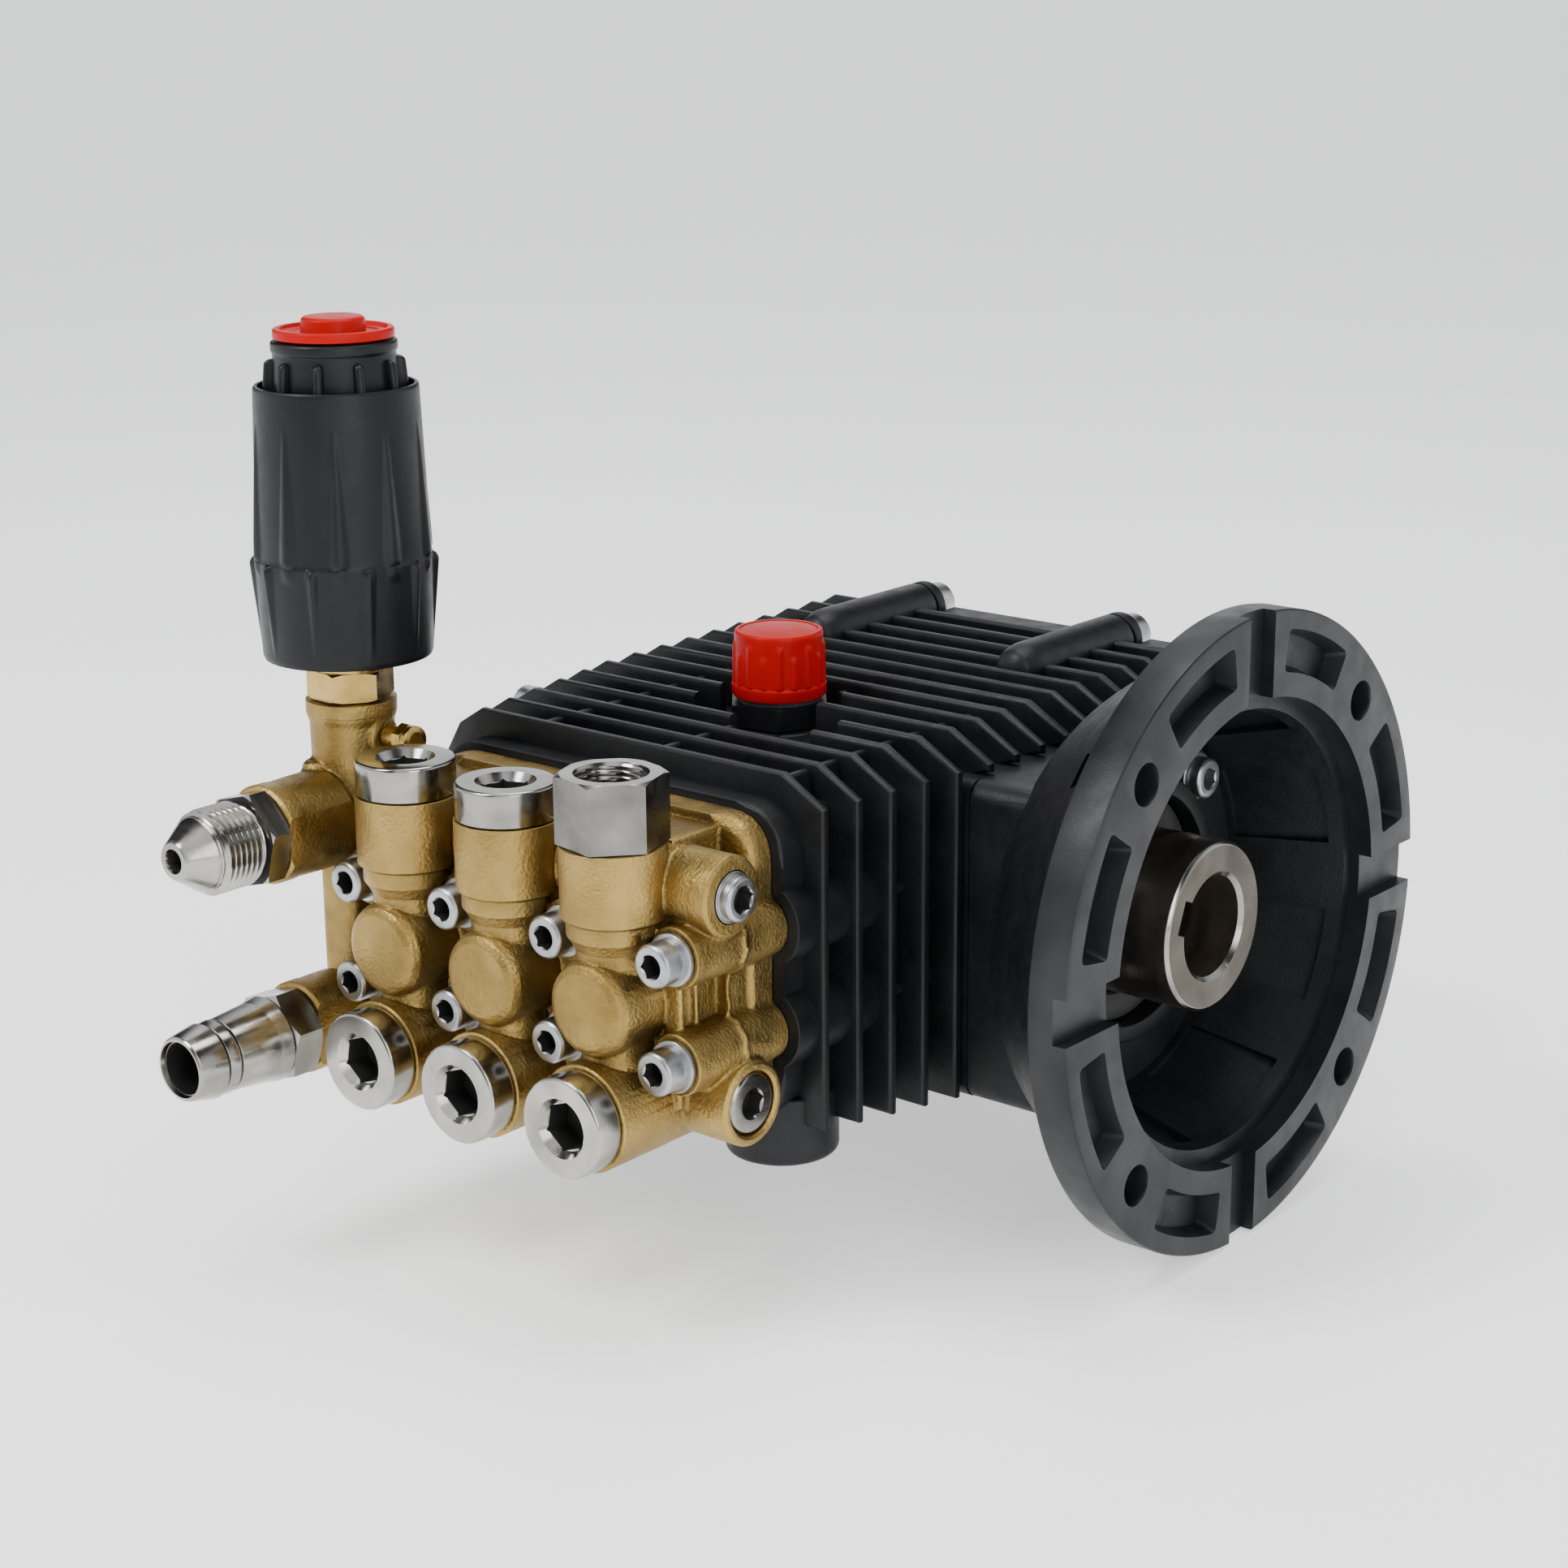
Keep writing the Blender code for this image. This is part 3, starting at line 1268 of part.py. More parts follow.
def inlet_barb():
    """The inlet's hose tail: hexagon and three barbs round a large bore."""
    at = (INLET_X, 0, SUCTION_Z)
    seat = -INLET_Y + GAP
    profile = [
        (5.1 * MM, 167.8 * MM),
        (7.4 * MM, 167.8 * MM),
        (8.5 * MM, 160.5 * MM),
        (7.5 * MM, 160.3 * MM),
        (8.9 * MM, 153.5 * MM),
        (7.9 * MM, 153.3 * MM),
        (9.3 * MM, 146.0 * MM),
        (7.6 * MM, 145.0 * MM),
        (7.6 * MM, seat + 1 * MM),
        (7.1 * MM, seat + 1 * MM),
        (7.1 * MM, seat - 9 * MM),
        (5.1 * MM, seat - 9 * MM),
    ]
    barb = turned("inlet_barb", profile, at, (0, -1, 0), PARTS)
    as_part(barb, steel())
    to_world = along_y(at[0], at[2])
    nut = prism("barb_hexagon", hexagon(19.5 * MM, 15), -seat - 6.2 * MM, -seat, to_world, CUTTERS)
    cut(nut, rod("barb_hexagon_way", 6 * MM, seat - 3 * MM, seat + 9 * MM, at, (0, -1, 0), CUTTERS, 12))
    add(barb, nut)
    return barb


# ---------------------------------------------------------------- oil filler


def oil_neck():
    at = (MID_X, FILLER_Y, 0)
    low, high = 37.6 * MM + GAP, 43.0 * MM
    neck = prism("oil_neck", hexagon(23.0 * MM, 10), low, high, along_z(MID_X, FILLER_Y), PARTS)
    as_part(neck, black_plastic(), smooth=False)
    add(neck, rod("neck_thread", 6.9 * MM, 30 * MM, 39 * MM, at, (0, 0, 1), CUTTERS, 14))
    cut(neck, rod("neck_way", 5.2 * MM, 28 * MM, 50 * MM, at, (0, 0, 1), CUTTERS, 14))
    return neck


def oil_cap_gasket():
    at = (MID_X, FILLER_Y, 0)
    low = 43.0 * MM + GAP
    return ring("oil_cap_gasket", 6.0 * MM, 10.5 * MM, low, low + 1.0 * MM, at, (0, 0, 1), rubber(), 14)


def oil_cap():
    """The red filler cap, with its plug inside the neck."""
    at = (MID_X, FILLER_Y, 0)
    low = 44.3 * MM + GAP
    profile = [
        (0, 61.2 * MM),
        (9.6 * MM, 61.0 * MM),
        (11.4 * MM, 60.0 * MM),
        (11.7 * MM, 58.5 * MM),
        (11.7 * MM, 48.0 * MM),
        (12.2 * MM, 47.6 * MM),
        (12.2 * MM, low + 0.5 * MM),
        (11.7 * MM, low),
        (4.9 * MM, low),
        (4.9 * MM, 36.0 * MM),
        (1.6 * MM, 35.5 * MM),
        (1.6 * MM, 31.0 * MM),
        (0, 31.0 * MM),
    ]
    return as_part(turned("oil_cap", profile, at, (0, 0, 1), PARTS), red_plastic())


def build():
    bell_housing()
    crankcase()
    rear_cover()
    side_cover()
    crankshaft()
    bearing("motor_bearing", 1)
    bearing("end_bearing", -1)
    shaft_seal()
    for number in CYLINDERS:
        conrod(number)
        guide_piston(number)
        plunger(number)
        oil_seal(number)
        packing(number)
        suction_cap(number)
        suction_valve(number)
        discharge_valve(number)
    for number in (2, 3):
        discharge_cap(number)
    gauge_fitting()
    manifold()
    places = [(x, z) for z in (BOLT_Z, -BOLT_Z) for x in BOLT_X]
    for index, (x, z) in enumerate(places, 1):
        head_bolt(index, x, z)
    gallery_plugs()
    unloader_block()
    unloader_nut()
    unloader_piston()
    unloader_spring()
    spring_washer()
    knob_core()
    knob_sleeve()
    knob_cap()
    bypass_screw()
    outlet_nipple()
    inlet_barb()
    oil_neck()
    oil_cap_gasket()
    oil_cap()


clear_scene()
PARTS = new_collection("pressure_washer_pump", hidden=False)
CUTTERS = new_collection("cutters", hidden=True)
build()
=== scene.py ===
"""Looks of the pressure washer pump: detailed castings, turned fittings and their materials.

Lengths are in mm, and keep() turns them into metres. Lathe profiles list (radius, height along the axis).
"""

import json
import math

import bmesh
import bpy
from mathutils import Matrix, Vector


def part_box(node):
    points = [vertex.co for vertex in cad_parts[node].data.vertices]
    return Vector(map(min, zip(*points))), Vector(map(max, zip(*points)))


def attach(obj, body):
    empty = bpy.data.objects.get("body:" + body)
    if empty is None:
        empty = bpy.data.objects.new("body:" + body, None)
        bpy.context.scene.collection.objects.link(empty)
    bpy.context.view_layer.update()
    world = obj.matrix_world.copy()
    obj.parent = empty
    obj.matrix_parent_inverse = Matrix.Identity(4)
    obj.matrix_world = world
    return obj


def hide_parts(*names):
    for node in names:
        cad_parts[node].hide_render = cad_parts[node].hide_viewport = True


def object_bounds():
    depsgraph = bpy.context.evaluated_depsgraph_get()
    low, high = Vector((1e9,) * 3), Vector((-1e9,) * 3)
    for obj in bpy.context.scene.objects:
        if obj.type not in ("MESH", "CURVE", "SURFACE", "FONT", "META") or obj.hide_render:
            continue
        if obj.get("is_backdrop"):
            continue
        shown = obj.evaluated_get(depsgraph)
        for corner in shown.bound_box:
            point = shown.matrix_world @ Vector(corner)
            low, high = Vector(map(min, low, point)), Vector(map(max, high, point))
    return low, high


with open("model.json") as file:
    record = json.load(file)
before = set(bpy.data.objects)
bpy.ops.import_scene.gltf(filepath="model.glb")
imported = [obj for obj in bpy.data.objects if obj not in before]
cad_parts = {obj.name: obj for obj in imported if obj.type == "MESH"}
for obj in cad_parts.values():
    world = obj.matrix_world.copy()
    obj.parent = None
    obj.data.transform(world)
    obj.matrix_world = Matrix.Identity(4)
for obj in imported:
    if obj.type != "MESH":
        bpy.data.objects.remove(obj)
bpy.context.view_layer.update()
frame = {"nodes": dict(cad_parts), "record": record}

MM = 0.001
HOUSING = "housing"

# Camera: the point it looks at, its angles, its distance and its lens
LOOK_AT = (-90.0, -58.08, 33.11)
AZIMUTH, ELEVATION, ROLL = 39.735, 15.86, -0.466
DISTANCE = 679.82
LENS = 68.19


def middle(node):
    """The middle of a CAD node's box, in mm."""
    low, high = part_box(node)
    return [(low[i] + high[i]) / 2 / MM for i in range(3)]


NUMBERS = (1, 2, 3)
CYLINDER_X = {n: middle(f"suction_cap_{n}")[0] for n in NUMBERS}
MID_X = CYLINDER_X[2]
PITCH = CYLINDER_X[1] - CYLINDER_X[2]
SUCTION_Z = middle("suction_cap_1")[2]
DISCHARGE_Y = middle("discharge_cap_2")[1]
BOLTS = [(middle(f"head_bolt_{i}")[0], middle(f"head_bolt_{i}")[2]) for i in range(1, 9)]
KNOB_X, KNOB_Y = middle("knob_cap")[:2]
OUTLET_Z = middle("outlet_nipple")[2]
INLET_X = middle("inlet_barb")[0]
FILLER_Y = middle("oil_cap")[1]

# Directions: to the manifold, up, and out of the bell, then to the rear cover and the side cover
FRONT, UP, OUT = (0, -1, 0), (0, 0, 1), (1, 0, 0)
REAR, FAR = (0, 1, 0), (-1, 0, 0)


# ---------------------------------------------------------------- materials


def noise_node(tree, scale, detail=4.0, stretch=None):
    """A noise texture over the object's own coordinates, in 1/metre."""
    coords = tree.nodes.new("ShaderNodeTexCoord")
    mapping = tree.nodes.new("ShaderNodeMapping")
    mapping.inputs["Scale"].default_value = stretch or (1, 1, 1)
    made = tree.nodes.new("ShaderNodeTexNoise")
    made.inputs["Scale"].default_value = scale
    made.inputs["Detail"].default_value = detail
    tree.links.new(coords.outputs["Object"], mapping.inputs["Vector"])
    tree.links.new(mapping.outputs["Vector"], made.inputs["Vector"])
    return made


def ramp_node(tree, source, stops):
    """A colour ramp driven by source. stops lists (place, colour)."""
    ramp = tree.nodes.new("ShaderNodeValToRGB")
    for element, (place, colour) in zip(ramp.color_ramp.elements, stops):
        element.position = place
        element.color = (*colour, 1.0)
    tree.links.new(source, ramp.inputs["Fac"])
    return ramp.outputs["Color"]


def finish_of(
    name, dark, light, rough, metallic, grain, grain_scale, patch_scale=60.0, stretch=None, sheen=0.5
):
    """A procedural finish: patchy colour, uneven roughness, and a grain in its bump.

    rough is the lowest and highest roughness, grain the bump's height in mm, and sheen how strongly
    a surface that isn't metal mirrors its surroundings.
    """
    made = bpy.data.materials.new(name)
    made.use_nodes = True
    tree = made.node_tree
    shader = tree.nodes["Principled BSDF"]
    shader.inputs["Metallic"].default_value = metallic
    shader.inputs["Specular IOR Level"].default_value = sheen
    patches = noise_node(tree, patch_scale, 6.0)
    colour = ramp_node(tree, patches.outputs["Fac"], [(0.32, dark), (0.68, light)])
    tree.links.new(colour, shader.inputs["Base Color"])
    wear = noise_node(tree, patch_scale * 3.1, 5.0, stretch)
    low, high = rough
    spread = tree.nodes.new("ShaderNodeMapRange")
    spread.inputs["From Min"].default_value = 0.3
    spread.inputs["From Max"].default_value = 0.7
    spread.inputs["To Min"].default_value = low
    spread.inputs["To Max"].default_value = high
    tree.links.new(wear.outputs["Fac"], spread.inputs["Value"])
    tree.links.new(spread.outputs["Result"], shader.inputs["Roughness"])
    fine = noise_node(tree, grain_scale, 3.0, stretch)
    bump = tree.nodes.new("ShaderNodeBump")
    bump.inputs["Strength"].default_value = 1.0
    bump.inputs["Distance"].default_value = grain * MM
    tree.links.new(fine.outputs["Fac"], bump.inputs["Height"])
    tree.links.new(bump.outputs["Normal"], shader.inputs["Normal"])
    return made


def painted_shade_in_hollows(made, depth, low=0.44, high=0.53):
    """Painted shade in a casting's hollows and corners: depth is how much of its colour stays there."""
    tree = made.node_tree
    shader = tree.nodes["Principled BSDF"]
    colour = shader.inputs["Base Color"].links[0].from_socket
    shape = tree.nodes.new("ShaderNodeNewGeometry")
    shade = ramp_node(tree, shape.outputs["Pointiness"], [(low, (depth,) * 3), (high, (1.0, 1.0, 1.0))])
    mix = tree.nodes.new("ShaderNodeMix")
    mix.data_type = "RGBA"
    mix.blend_type = "MULTIPLY"
    mix.inputs["Factor"].default_value = 1.0
    colours = [socket for socket in mix.inputs if socket.type == "RGBA"]
    tree.links.new(colour, colours[0])
    tree.links.new(shade, colours[1])
    result = [socket for socket in mix.outputs if socket.type == "RGBA"][0]
    tree.links.new(result, shader.inputs["Base Color"])


def turned_finish(name, dark, light, rough, axis):
    """Fine tool marks round a turned piece: the grain is long across the axis, and short along it."""
    stretch = [0.12 if i != axis else 1.0 for i in range(3)]
    return finish_of(name, dark, light, rough, 1.0, 0.012, 2600.0, 90.0, stretch)


# name, dark and light colour, roughness, metallic, grain height, grain scale, patch scale, stretch, sheen
CAST_BRASS = finish_of(
    "cast_brass", (0.25, 0.160, 0.045), (0.44, 0.305, 0.100), (0.34, 0.56), 1.0, 0.24, 1150.0, 55.0
)
# painted shade: the cast brass is darker in its hollows and corners
painted_shade_in_hollows(CAST_BRASS, 0.45)
BAR_BRASS = finish_of(
    "bar_brass", (0.34, 0.22, 0.06), (0.50, 0.345, 0.115), (0.20, 0.32), 1.0, 0.02, 2600.0, 90.0
)
BLACK_PAINT = finish_of(
    "black_paint", (0.0030, 0.0036, 0.0044), (0.0065, 0.0074, 0.0086), (0.38, 0.52), 0.0, 0.06, 1300.0,
    80.0, None, 0.26,
)
GREY_MACHINED = finish_of(
    "grey_machined", (0.014, 0.016, 0.018), (0.032, 0.034, 0.036), (0.34, 0.50), 0.6, 0.03, 1700.0,
    45.0, None, 0.3,
)
BLACK_PLASTIC = finish_of(
    "black_plastic", (0.0028, 0.0034, 0.0042), (0.005, 0.006, 0.007), (0.36, 0.46), 0.0, 0.012, 2200.0,
    90.0, None, 0.24,
)
RED_PLASTIC = finish_of(
    "red_plastic", (0.36, 0.0, 0.0), (0.42, 0.0, 0.001), (0.34, 0.42), 0.0, 0.008, 1500.0, 90.0, None, 0.10
)
BRIGHT_Y = turned_finish("bright_steel_y", (0.25, 0.242, 0.22), (0.42, 0.41, 0.375), (0.14, 0.26), 1)
BRIGHT_Z = turned_finish("bright_steel_z", (0.20, 0.194, 0.178), (0.35, 0.342, 0.318), (0.14, 0.26), 2)
MILLED = finish_of(
    "milled_steel", (0.10, 0.098, 0.088), (0.22, 0.215, 0.195), (0.22, 0.36), 1.0, 0.03, 900.0, 70.0
)
SHAFT_STEEL = turned_finish("shaft_steel", (0.26, 0.225, 0.18), (0.42, 0.37, 0.31), (0.26, 0.40), 0)
SHAFT_FACE = finish_of(
    "shaft_face", (0.060, 0.052, 0.040), (0.110, 0.098, 0.080), (0.30, 0.44), 1.0, 0.02, 1700.0, 70.0
)
ZINC = finish_of("zinc", (0.28, 0.292, 0.305), (0.46, 0.47, 0.48), (0.28, 0.44), 1.0, 0.02, 2200.0, 120.0)
# painted shade: a dark material put on the faces inside sockets and bores, which lie in shade
PAINTED_RECESS_SHADE = finish_of(
    "recess_shade", (0.010, 0.010, 0.010), (0.030, 0.029, 0.027), (0.45, 0.6), 0.4, 0.02, 1500.0
)
BEARING_STEEL = finish_of(
    "bearing_steel", (0.32, 0.32, 0.34), (0.45, 0.45, 0.47), (0.20, 0.32), 1.0, 0.01, 2200.0
)
ALUMINIUM = finish_of("aluminium", (0.36, 0.37, 0.39), (0.50, 0.51, 0.53), (0.38, 0.52), 1.0, 0.05, 1500.0)
CERAMIC = finish_of("ceramic", (0.80, 0.78, 0.73), (0.88, 0.86, 0.82), (0.10, 0.18), 0.0, 0.004, 1500.0)
RUBBER = finish_of("rubber", (0.010, 0.010, 0.010), (0.022, 0.022, 0.022), (0.62, 0.78), 0.0, 0.02, 1800.0)

# The finish of each CAD node that isn't replaced, by its slot
CARRIED = {
    "bearing_steel": BEARING_STEEL,
    "aluminium": ALUMINIUM,
    "ceramic": CERAMIC,
    "rubber": RUBBER,
    "zinc": ZINC,
    "steel": SHAFT_STEEL,
    "brass": CAST_BRASS,
    "black_casting": BLACK_PAINT,
    "grey_casting": GREY_MACHINED,
    "black_plastic": BLACK_PLASTIC,
    "red_plastic": RED_PLASTIC,
}


# ---------------------------------------------------------------- shapes


def keep(bm, name):
    """A new object in the scene from a bmesh in mm."""
    bmesh.ops.recalc_face_normals(bm, faces=bm.faces)
    bm.transform(Matrix.Scale(MM, 4))
    mesh = bpy.data.meshes.new(name)
    bm.to_mesh(mesh)
    bm.free()
    obj = bpy.data.objects.new(name, mesh)
    bpy.context.scene.collection.objects.link(obj)
    return obj


def towards(at, axis):
    """The matrix that takes local Z to axis, and the origin to at."""
    turn = Vector((0, 0, 1)).rotation_difference(Vector(axis)).to_matrix().to_4x4()
    return Matrix.Translation(at) @ turn


def softened(profile, radius, steps=3):
    """The profile with its corners rounded. Points on the axis stay."""
    on_axis = profile[0][0] == 0
    count = len(profile)
    result = []
    for i, corner in enumerate(profile):
        if corner[0] == 0 or (on_axis and i in (0, count - 1)):
            result.append(corner)
            continue
        here = Vector(corner)
        before, after = Vector(profile[i - 1]), Vector(profile[(i + 1) % count])
        reach = min(radius, (before - here).length * 0.45, (after - here).length * 0.45)
        start = here + (before - here).normalized() * reach
        stop = here + (after - here).normalized() * reach
        for k in range(steps + 1):
            t = k / steps
            point = start * (1 - t) ** 2 + here * 2 * t * (1 - t) + stop * t * t
            result.append((point.x, point.y))
    return result


def lathe(profile, at=(0, 0, 0), axis=UP, sides=96, soft=0.4, ripple=None, name="turned"):
    """A solid of revolution. profile lists (radius, height), from the axis to the axis or as a closed ring.

    ripple(radius, height, angle) gives the radius where the piece isn't round.
    """
    points = softened(profile, soft) if soft else profile
    bm = bmesh.new()
    rings = []
    for r, h in points:
        if r == 0:
            rings.append([bm.verts.new((0, 0, h))])
            continue
        ring = []
        for i in range(sides):
            angle = 2 * math.pi * i / sides
            here = ripple(r, h, angle) if ripple else r
            ring.append(bm.verts.new((here * math.cos(angle), here * math.sin(angle), h)))
        rings.append(ring)
    pairs = list(zip(rings, rings[1:]))
    if points[0][0] > 0:
        pairs.append((rings[-1], rings[0]))
    for a, b in pairs:
        for i in range(sides):
            j = (i + 1) % sides
            corners = [a[i % len(a)], a[j % len(a)], b[j % len(b)], b[i % len(b)]]
            corners = list(dict.fromkeys(corners))
            if len(corners) > 2:
                bm.faces.new(corners)
    bm.transform(towards(at, axis))
    return keep(bm, name)


def rod(radius, low, high, at, axis, sides=48, soft=0.0):
    """A round rod between two heights along an axis through at."""
    return lathe([(0, high), (radius, high), (radius, low), (0, low)], at, axis, sides, soft)


def block(low, high, bevel=0.0, along=None, segments=4):
    """A box with rounded edges, or with only those along one axis rounded."""
    bm = bmesh.new()
    bmesh.ops.create_cube(bm, size=1.0)
    for vert in bm.verts:
        vert.co = Vector((low[i] + high[i]) / 2 + vert.co[i] * (high[i] - low[i]) for i in range(3))
    if bevel:
        edges = [
            e for e in bm.edges
            if along is None or abs((e.verts[0].co - e.verts[1].co).normalized()[along]) > 0.9
        ]
        bmesh.ops.bevel(bm, geom=edges, offset=bevel, segments=segments, profile=0.5, affect="EDGES")
    return keep(bm, "block")


def slab(outline, low, high, place, bevel=0.0, segments=2, low_outline=None):
    """A flat outline from low to high. place(u, v, w) gives the point, and bevel rounds the two rims.

    low_outline, with as many points, gives the piece drafted sides.
    """
    bm = bmesh.new()
    levels = ((low, low_outline or outline), (high, outline))
    rings = [[bm.verts.new(place(u, v, w)) for u, v in points] for w, points in levels]
    caps = [bm.faces.new(rings[0]), bm.faces.new(list(reversed(rings[1])))]
    count = len(outline)
    for i in range(count):
        j = (i + 1) % count
        bm.faces.new([rings[0][j], rings[0][i], rings[1][i], rings[1][j]])
    if bevel:
        rims = [e for cap in caps for e in cap.edges]
        bmesh.ops.bevel(bm, geom=rims, offset=bevel, segments=segments, profile=0.5, affect="EDGES")
    return keep(bm, "slab")


def round_corners(outline, radius, steps=5):
    return softened([tuple(p) for p in outline], radius, steps)


def clamp(value):
    return max(0.0, min(1.0, value))


def placed(obj, at, axis):
    """Moves a piece made along Z to its place and axis."""
    obj.data.transform(Matrix.Scale(MM, 4) @ towards(at, axis) @ Matrix.Scale(1 / MM, 4))
    return obj


def hexagon(flats, turn=0.0):
    """A hexagon's corners, from its width across the flats. turn is the first corner's angle."""
    radius = flats / math.sqrt(3)
    angles = [math.radians(60 * i + turn) for i in range(6)]
    return [(radius * math.cos(a), radius * math.sin(a)) for a in angles]


def combine(obj, others, operation):
    """Adds or cuts the other solids, and leaves one plain mesh."""
    for other in others:
        step = obj.modifiers.new("step", "BOOLEAN")
        step.object = other
        step.operation = operation
        step.solver = "MANIFOLD"
    baked(obj)
    for other in others:
        bpy.data.objects.remove(other, do_unlink=True)
    return obj


def baked(obj):
    """Applies the object's modifiers."""
    bpy.context.view_layer.update()
    graph = bpy.context.evaluated_depsgraph_get()
    mesh = bpy.data.meshes.new_from_object(obj.evaluated_get(graph))
    obj.modifiers.clear()
    old = obj.data
    obj.data = mesh
    bpy.data.meshes.remove(old)
    return obj


def fuse(obj, *others):
    return combine(obj, others, "UNION")


def cut(obj, *others):
    return combine(obj, others, "DIFFERENCE")


def cast(pieces, voxel, smoothing):
    """One casting from overlapping solids, with a fillet wherever two of them meet."""
    body = pieces[0]
    bm = bmesh.new()
    for piece in pieces:
        bm.from_mesh(piece.data)
    bm.to_mesh(body.data)
    bm.free()
    for piece in pieces[1:]:
        bpy.data.objects.remove(piece, do_unlink=True)
    remesh = body.modifiers.new("remesh", "REMESH")
    remesh.mode = "VOXEL"
    remesh.voxel_size = voxel * MM
    smooth = body.modifiers.new("smooth", "SMOOTH")
    smooth.factor = 0.5
    smooth.iterations = smoothing
    return baked(body)


def hex_bar(flats, low, high, at, axis, turn=0.0, chamfer=1.2, ends=(True, True)):
    """A hexagon bar whose corners are turned off at the ends."""
    corner = flats / math.sqrt(3)
    lift = 0.58 * chamfer
    bar = slab(hexagon(flats, turn), low, high, lambda u, v, w: (u, v, w))
    low_r = corner - chamfer if ends[0] else corner + 1
    high_r = corner - chamfer if ends[1] else corner + 1
    wide = corner + 0.1
    envelope = [(0, high), (high_r, high), (wide, high - lift), (wide, low + lift), (low_r, low), (0, low)]
    shape = combine(bar, [lathe(envelope, soft=0)], "INTERSECT")
    return placed(shape, at, axis)


def thread(major, minor, pitch, low, high, at, axis, sides=72):
    """A solid rod with a real helical thread, which fades out at both ends."""
    count = int((high - low) / pitch * 8)
    heights = [high - (high - low) * i / count for i in range(count + 1)]
    profile = [(0, high)] + [(major, h) for h in heights] + [(0, low)]

    def ripple(r, h, angle):
        phase = (h / pitch - angle / (2 * math.pi)) % 1.0
        depth = (major - minor) * abs(2 * phase - 1)
        fade = min(1.0, (high - h) / pitch, (h - low) / pitch)
        return major - (major - minor) * (1 - fade) - depth * fade

    return lathe(profile, at, axis, sides, 0, ripple)


def show(obj, name, finish, nodes=(), body=HOUSING, angle=32):
    """Names a piece, gives it its finish, and says which body it rides on and which nodes it replaces."""
    obj.name = name
    obj.data.name = name
    obj.data.materials.clear()
    obj.data.materials.append(finish)
    for polygon in obj.data.polygons:
        polygon.use_smooth = True
        polygon.material_index = 0
    obj.data.set_sharp_from_angle(angle=math.radians(angle))
    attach(obj, body)
    if nodes:
        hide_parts(*nodes)
    return obj


def darken(obj, at, axis, radius, low, high, finish=None):
    """Gives a second finish to the faces inside a recess: within radius of the axis, between two heights.
    Unless another finish is given, this is painted shade: a dark material in the recess.
    """
    obj.data.materials.append(finish or PAINTED_RECESS_SHADE)
    index = len(obj.data.materials) - 1
    to_local = towards(at, axis).inverted()
    for polygon in obj.data.polygons:
        point = to_local @ (polygon.center / MM)
        if math.hypot(point.x, point.y) < radius and low < point.z < high:
            polygon.material_index = index
    return obj


# ---------------------------------------------------------------- bell housing

FLANGE_R = 75
FLANGE_T = 10
SPIGOT_R = 55
BELL_BACK_X = -51.3
BELL_FLOOR_X = -33.3
FLANGE_BOLT = 45.96
FLOOR_SCREW_R = 37.2
POCKETS = ((9.6, 33.0), (57.0, 80.4))


def sector(inner, outer, start, stop, steps=8):
    """Part of a ring, between two radii and two angles in degrees."""
    angles = [start + (stop - start) * i / steps for i in range(steps + 1)]
    ring = [(outer, a) for a in angles] + [(inner, a) for a in reversed(angles)]
    return [(r * math.cos(math.radians(a)), r * math.sin(math.radians(a))) for r, a in ring]


def turned_about_x(obj, degrees):
    obj.data.transform(Matrix.Rotation(math.radians(degrees), 4, "X"))
    return obj


def bell():
    """The motor's housing: flange, bell, the square neck behind it, and its four floor screws."""
    ledge = block((BELL_BACK_X, -39, -41), (-30, 39, 36), 5, 0, 6)
    neck = block((BELL_BACK_X, -37, -39), (-24, 37, 34), 6)
    skirt = lathe([(0, -8), (70, -8), (69, -12), (52, -36), (38, -46), (0, -46)], axis=OUT, soft=6)
    body = cast([neck, skirt], 1.0, 8)
    edge = [(0, 0), (FLANGE_R, 0), (FLANGE_R, -FLANGE_T), (0, -FLANGE_T)]
    rim = lathe(edge, axis=OUT, sides=160, soft=0.8)
    inside = [(0, 3), (SPIGOT_R, 3), (SPIGOT_R, -5.5), (51.5, -5.5), (44, BELL_FLOOR_X), (0, BELL_FLOOR_X)]
    hub = lathe([(27.6, -46), (32, -46), (32, -29.5), (27.6, -29.5)], axis=OUT, soft=1.0)
    seat = [(0, 0), (27.9, 0), (27.9, -43), (21, -43), (21, -47.3), (27, -47.3), (27, -70), (0, -70)]
    behind = block((-90, -90, -90), (BELL_BACK_X, 90, 90))
    fuse(body, rim, ledge)
    cut(body, lathe(inside, axis=OUT, sides=160, soft=0), behind)
    fuse(body, hub)
    cut(body, lathe(seat, axis=OUT, soft=0))
    cut(body, *bell_panels(), *flange_cutters())
    show(body, "bell_casting", GREY_MACHINED, ["bell_housing"], angle=28)
    paint_by_place(body)
    for i in range(4):
        angle = math.radians(45 + 90 * i)
        place = (BELL_FLOOR_X, FLOOR_SCREW_R * math.cos(angle), FLOOR_SCREW_R * math.sin(angle))
        washer = lathe([(3.2, 1.4), (5.9, 1.4), (5.9, 0.05), (3.2, 0.05)], place, OUT, 48, 0.3)
        show(washer, f"bell_washer_{i}", ZINC)
        zinc_screw(f"bell_screw_{i}", place, OUT, 1.5, 15 * i, 4.9, 3.4, 5)


def bell_panels():
    """Shallow fields between the ribs of the bell's wall."""
    cutters = []
    limit = [(0, -8), (53.0, -8), (45.6, -31.5), (0, -31.5)]
    for i in range(8):
        panel = round_corners(sector(40, 60, -13, 13), 2.0, 3)
        shape = slab(panel, -31.5, -9, lambda u, v, w: (w, u, v))
        turned_about_x(shape, 22.5 + 45 * i)
        combine(shape, [lathe(limit, axis=OUT, sides=160, soft=0)], "INTERSECT")
        cutters.append(shape)
    return cutters


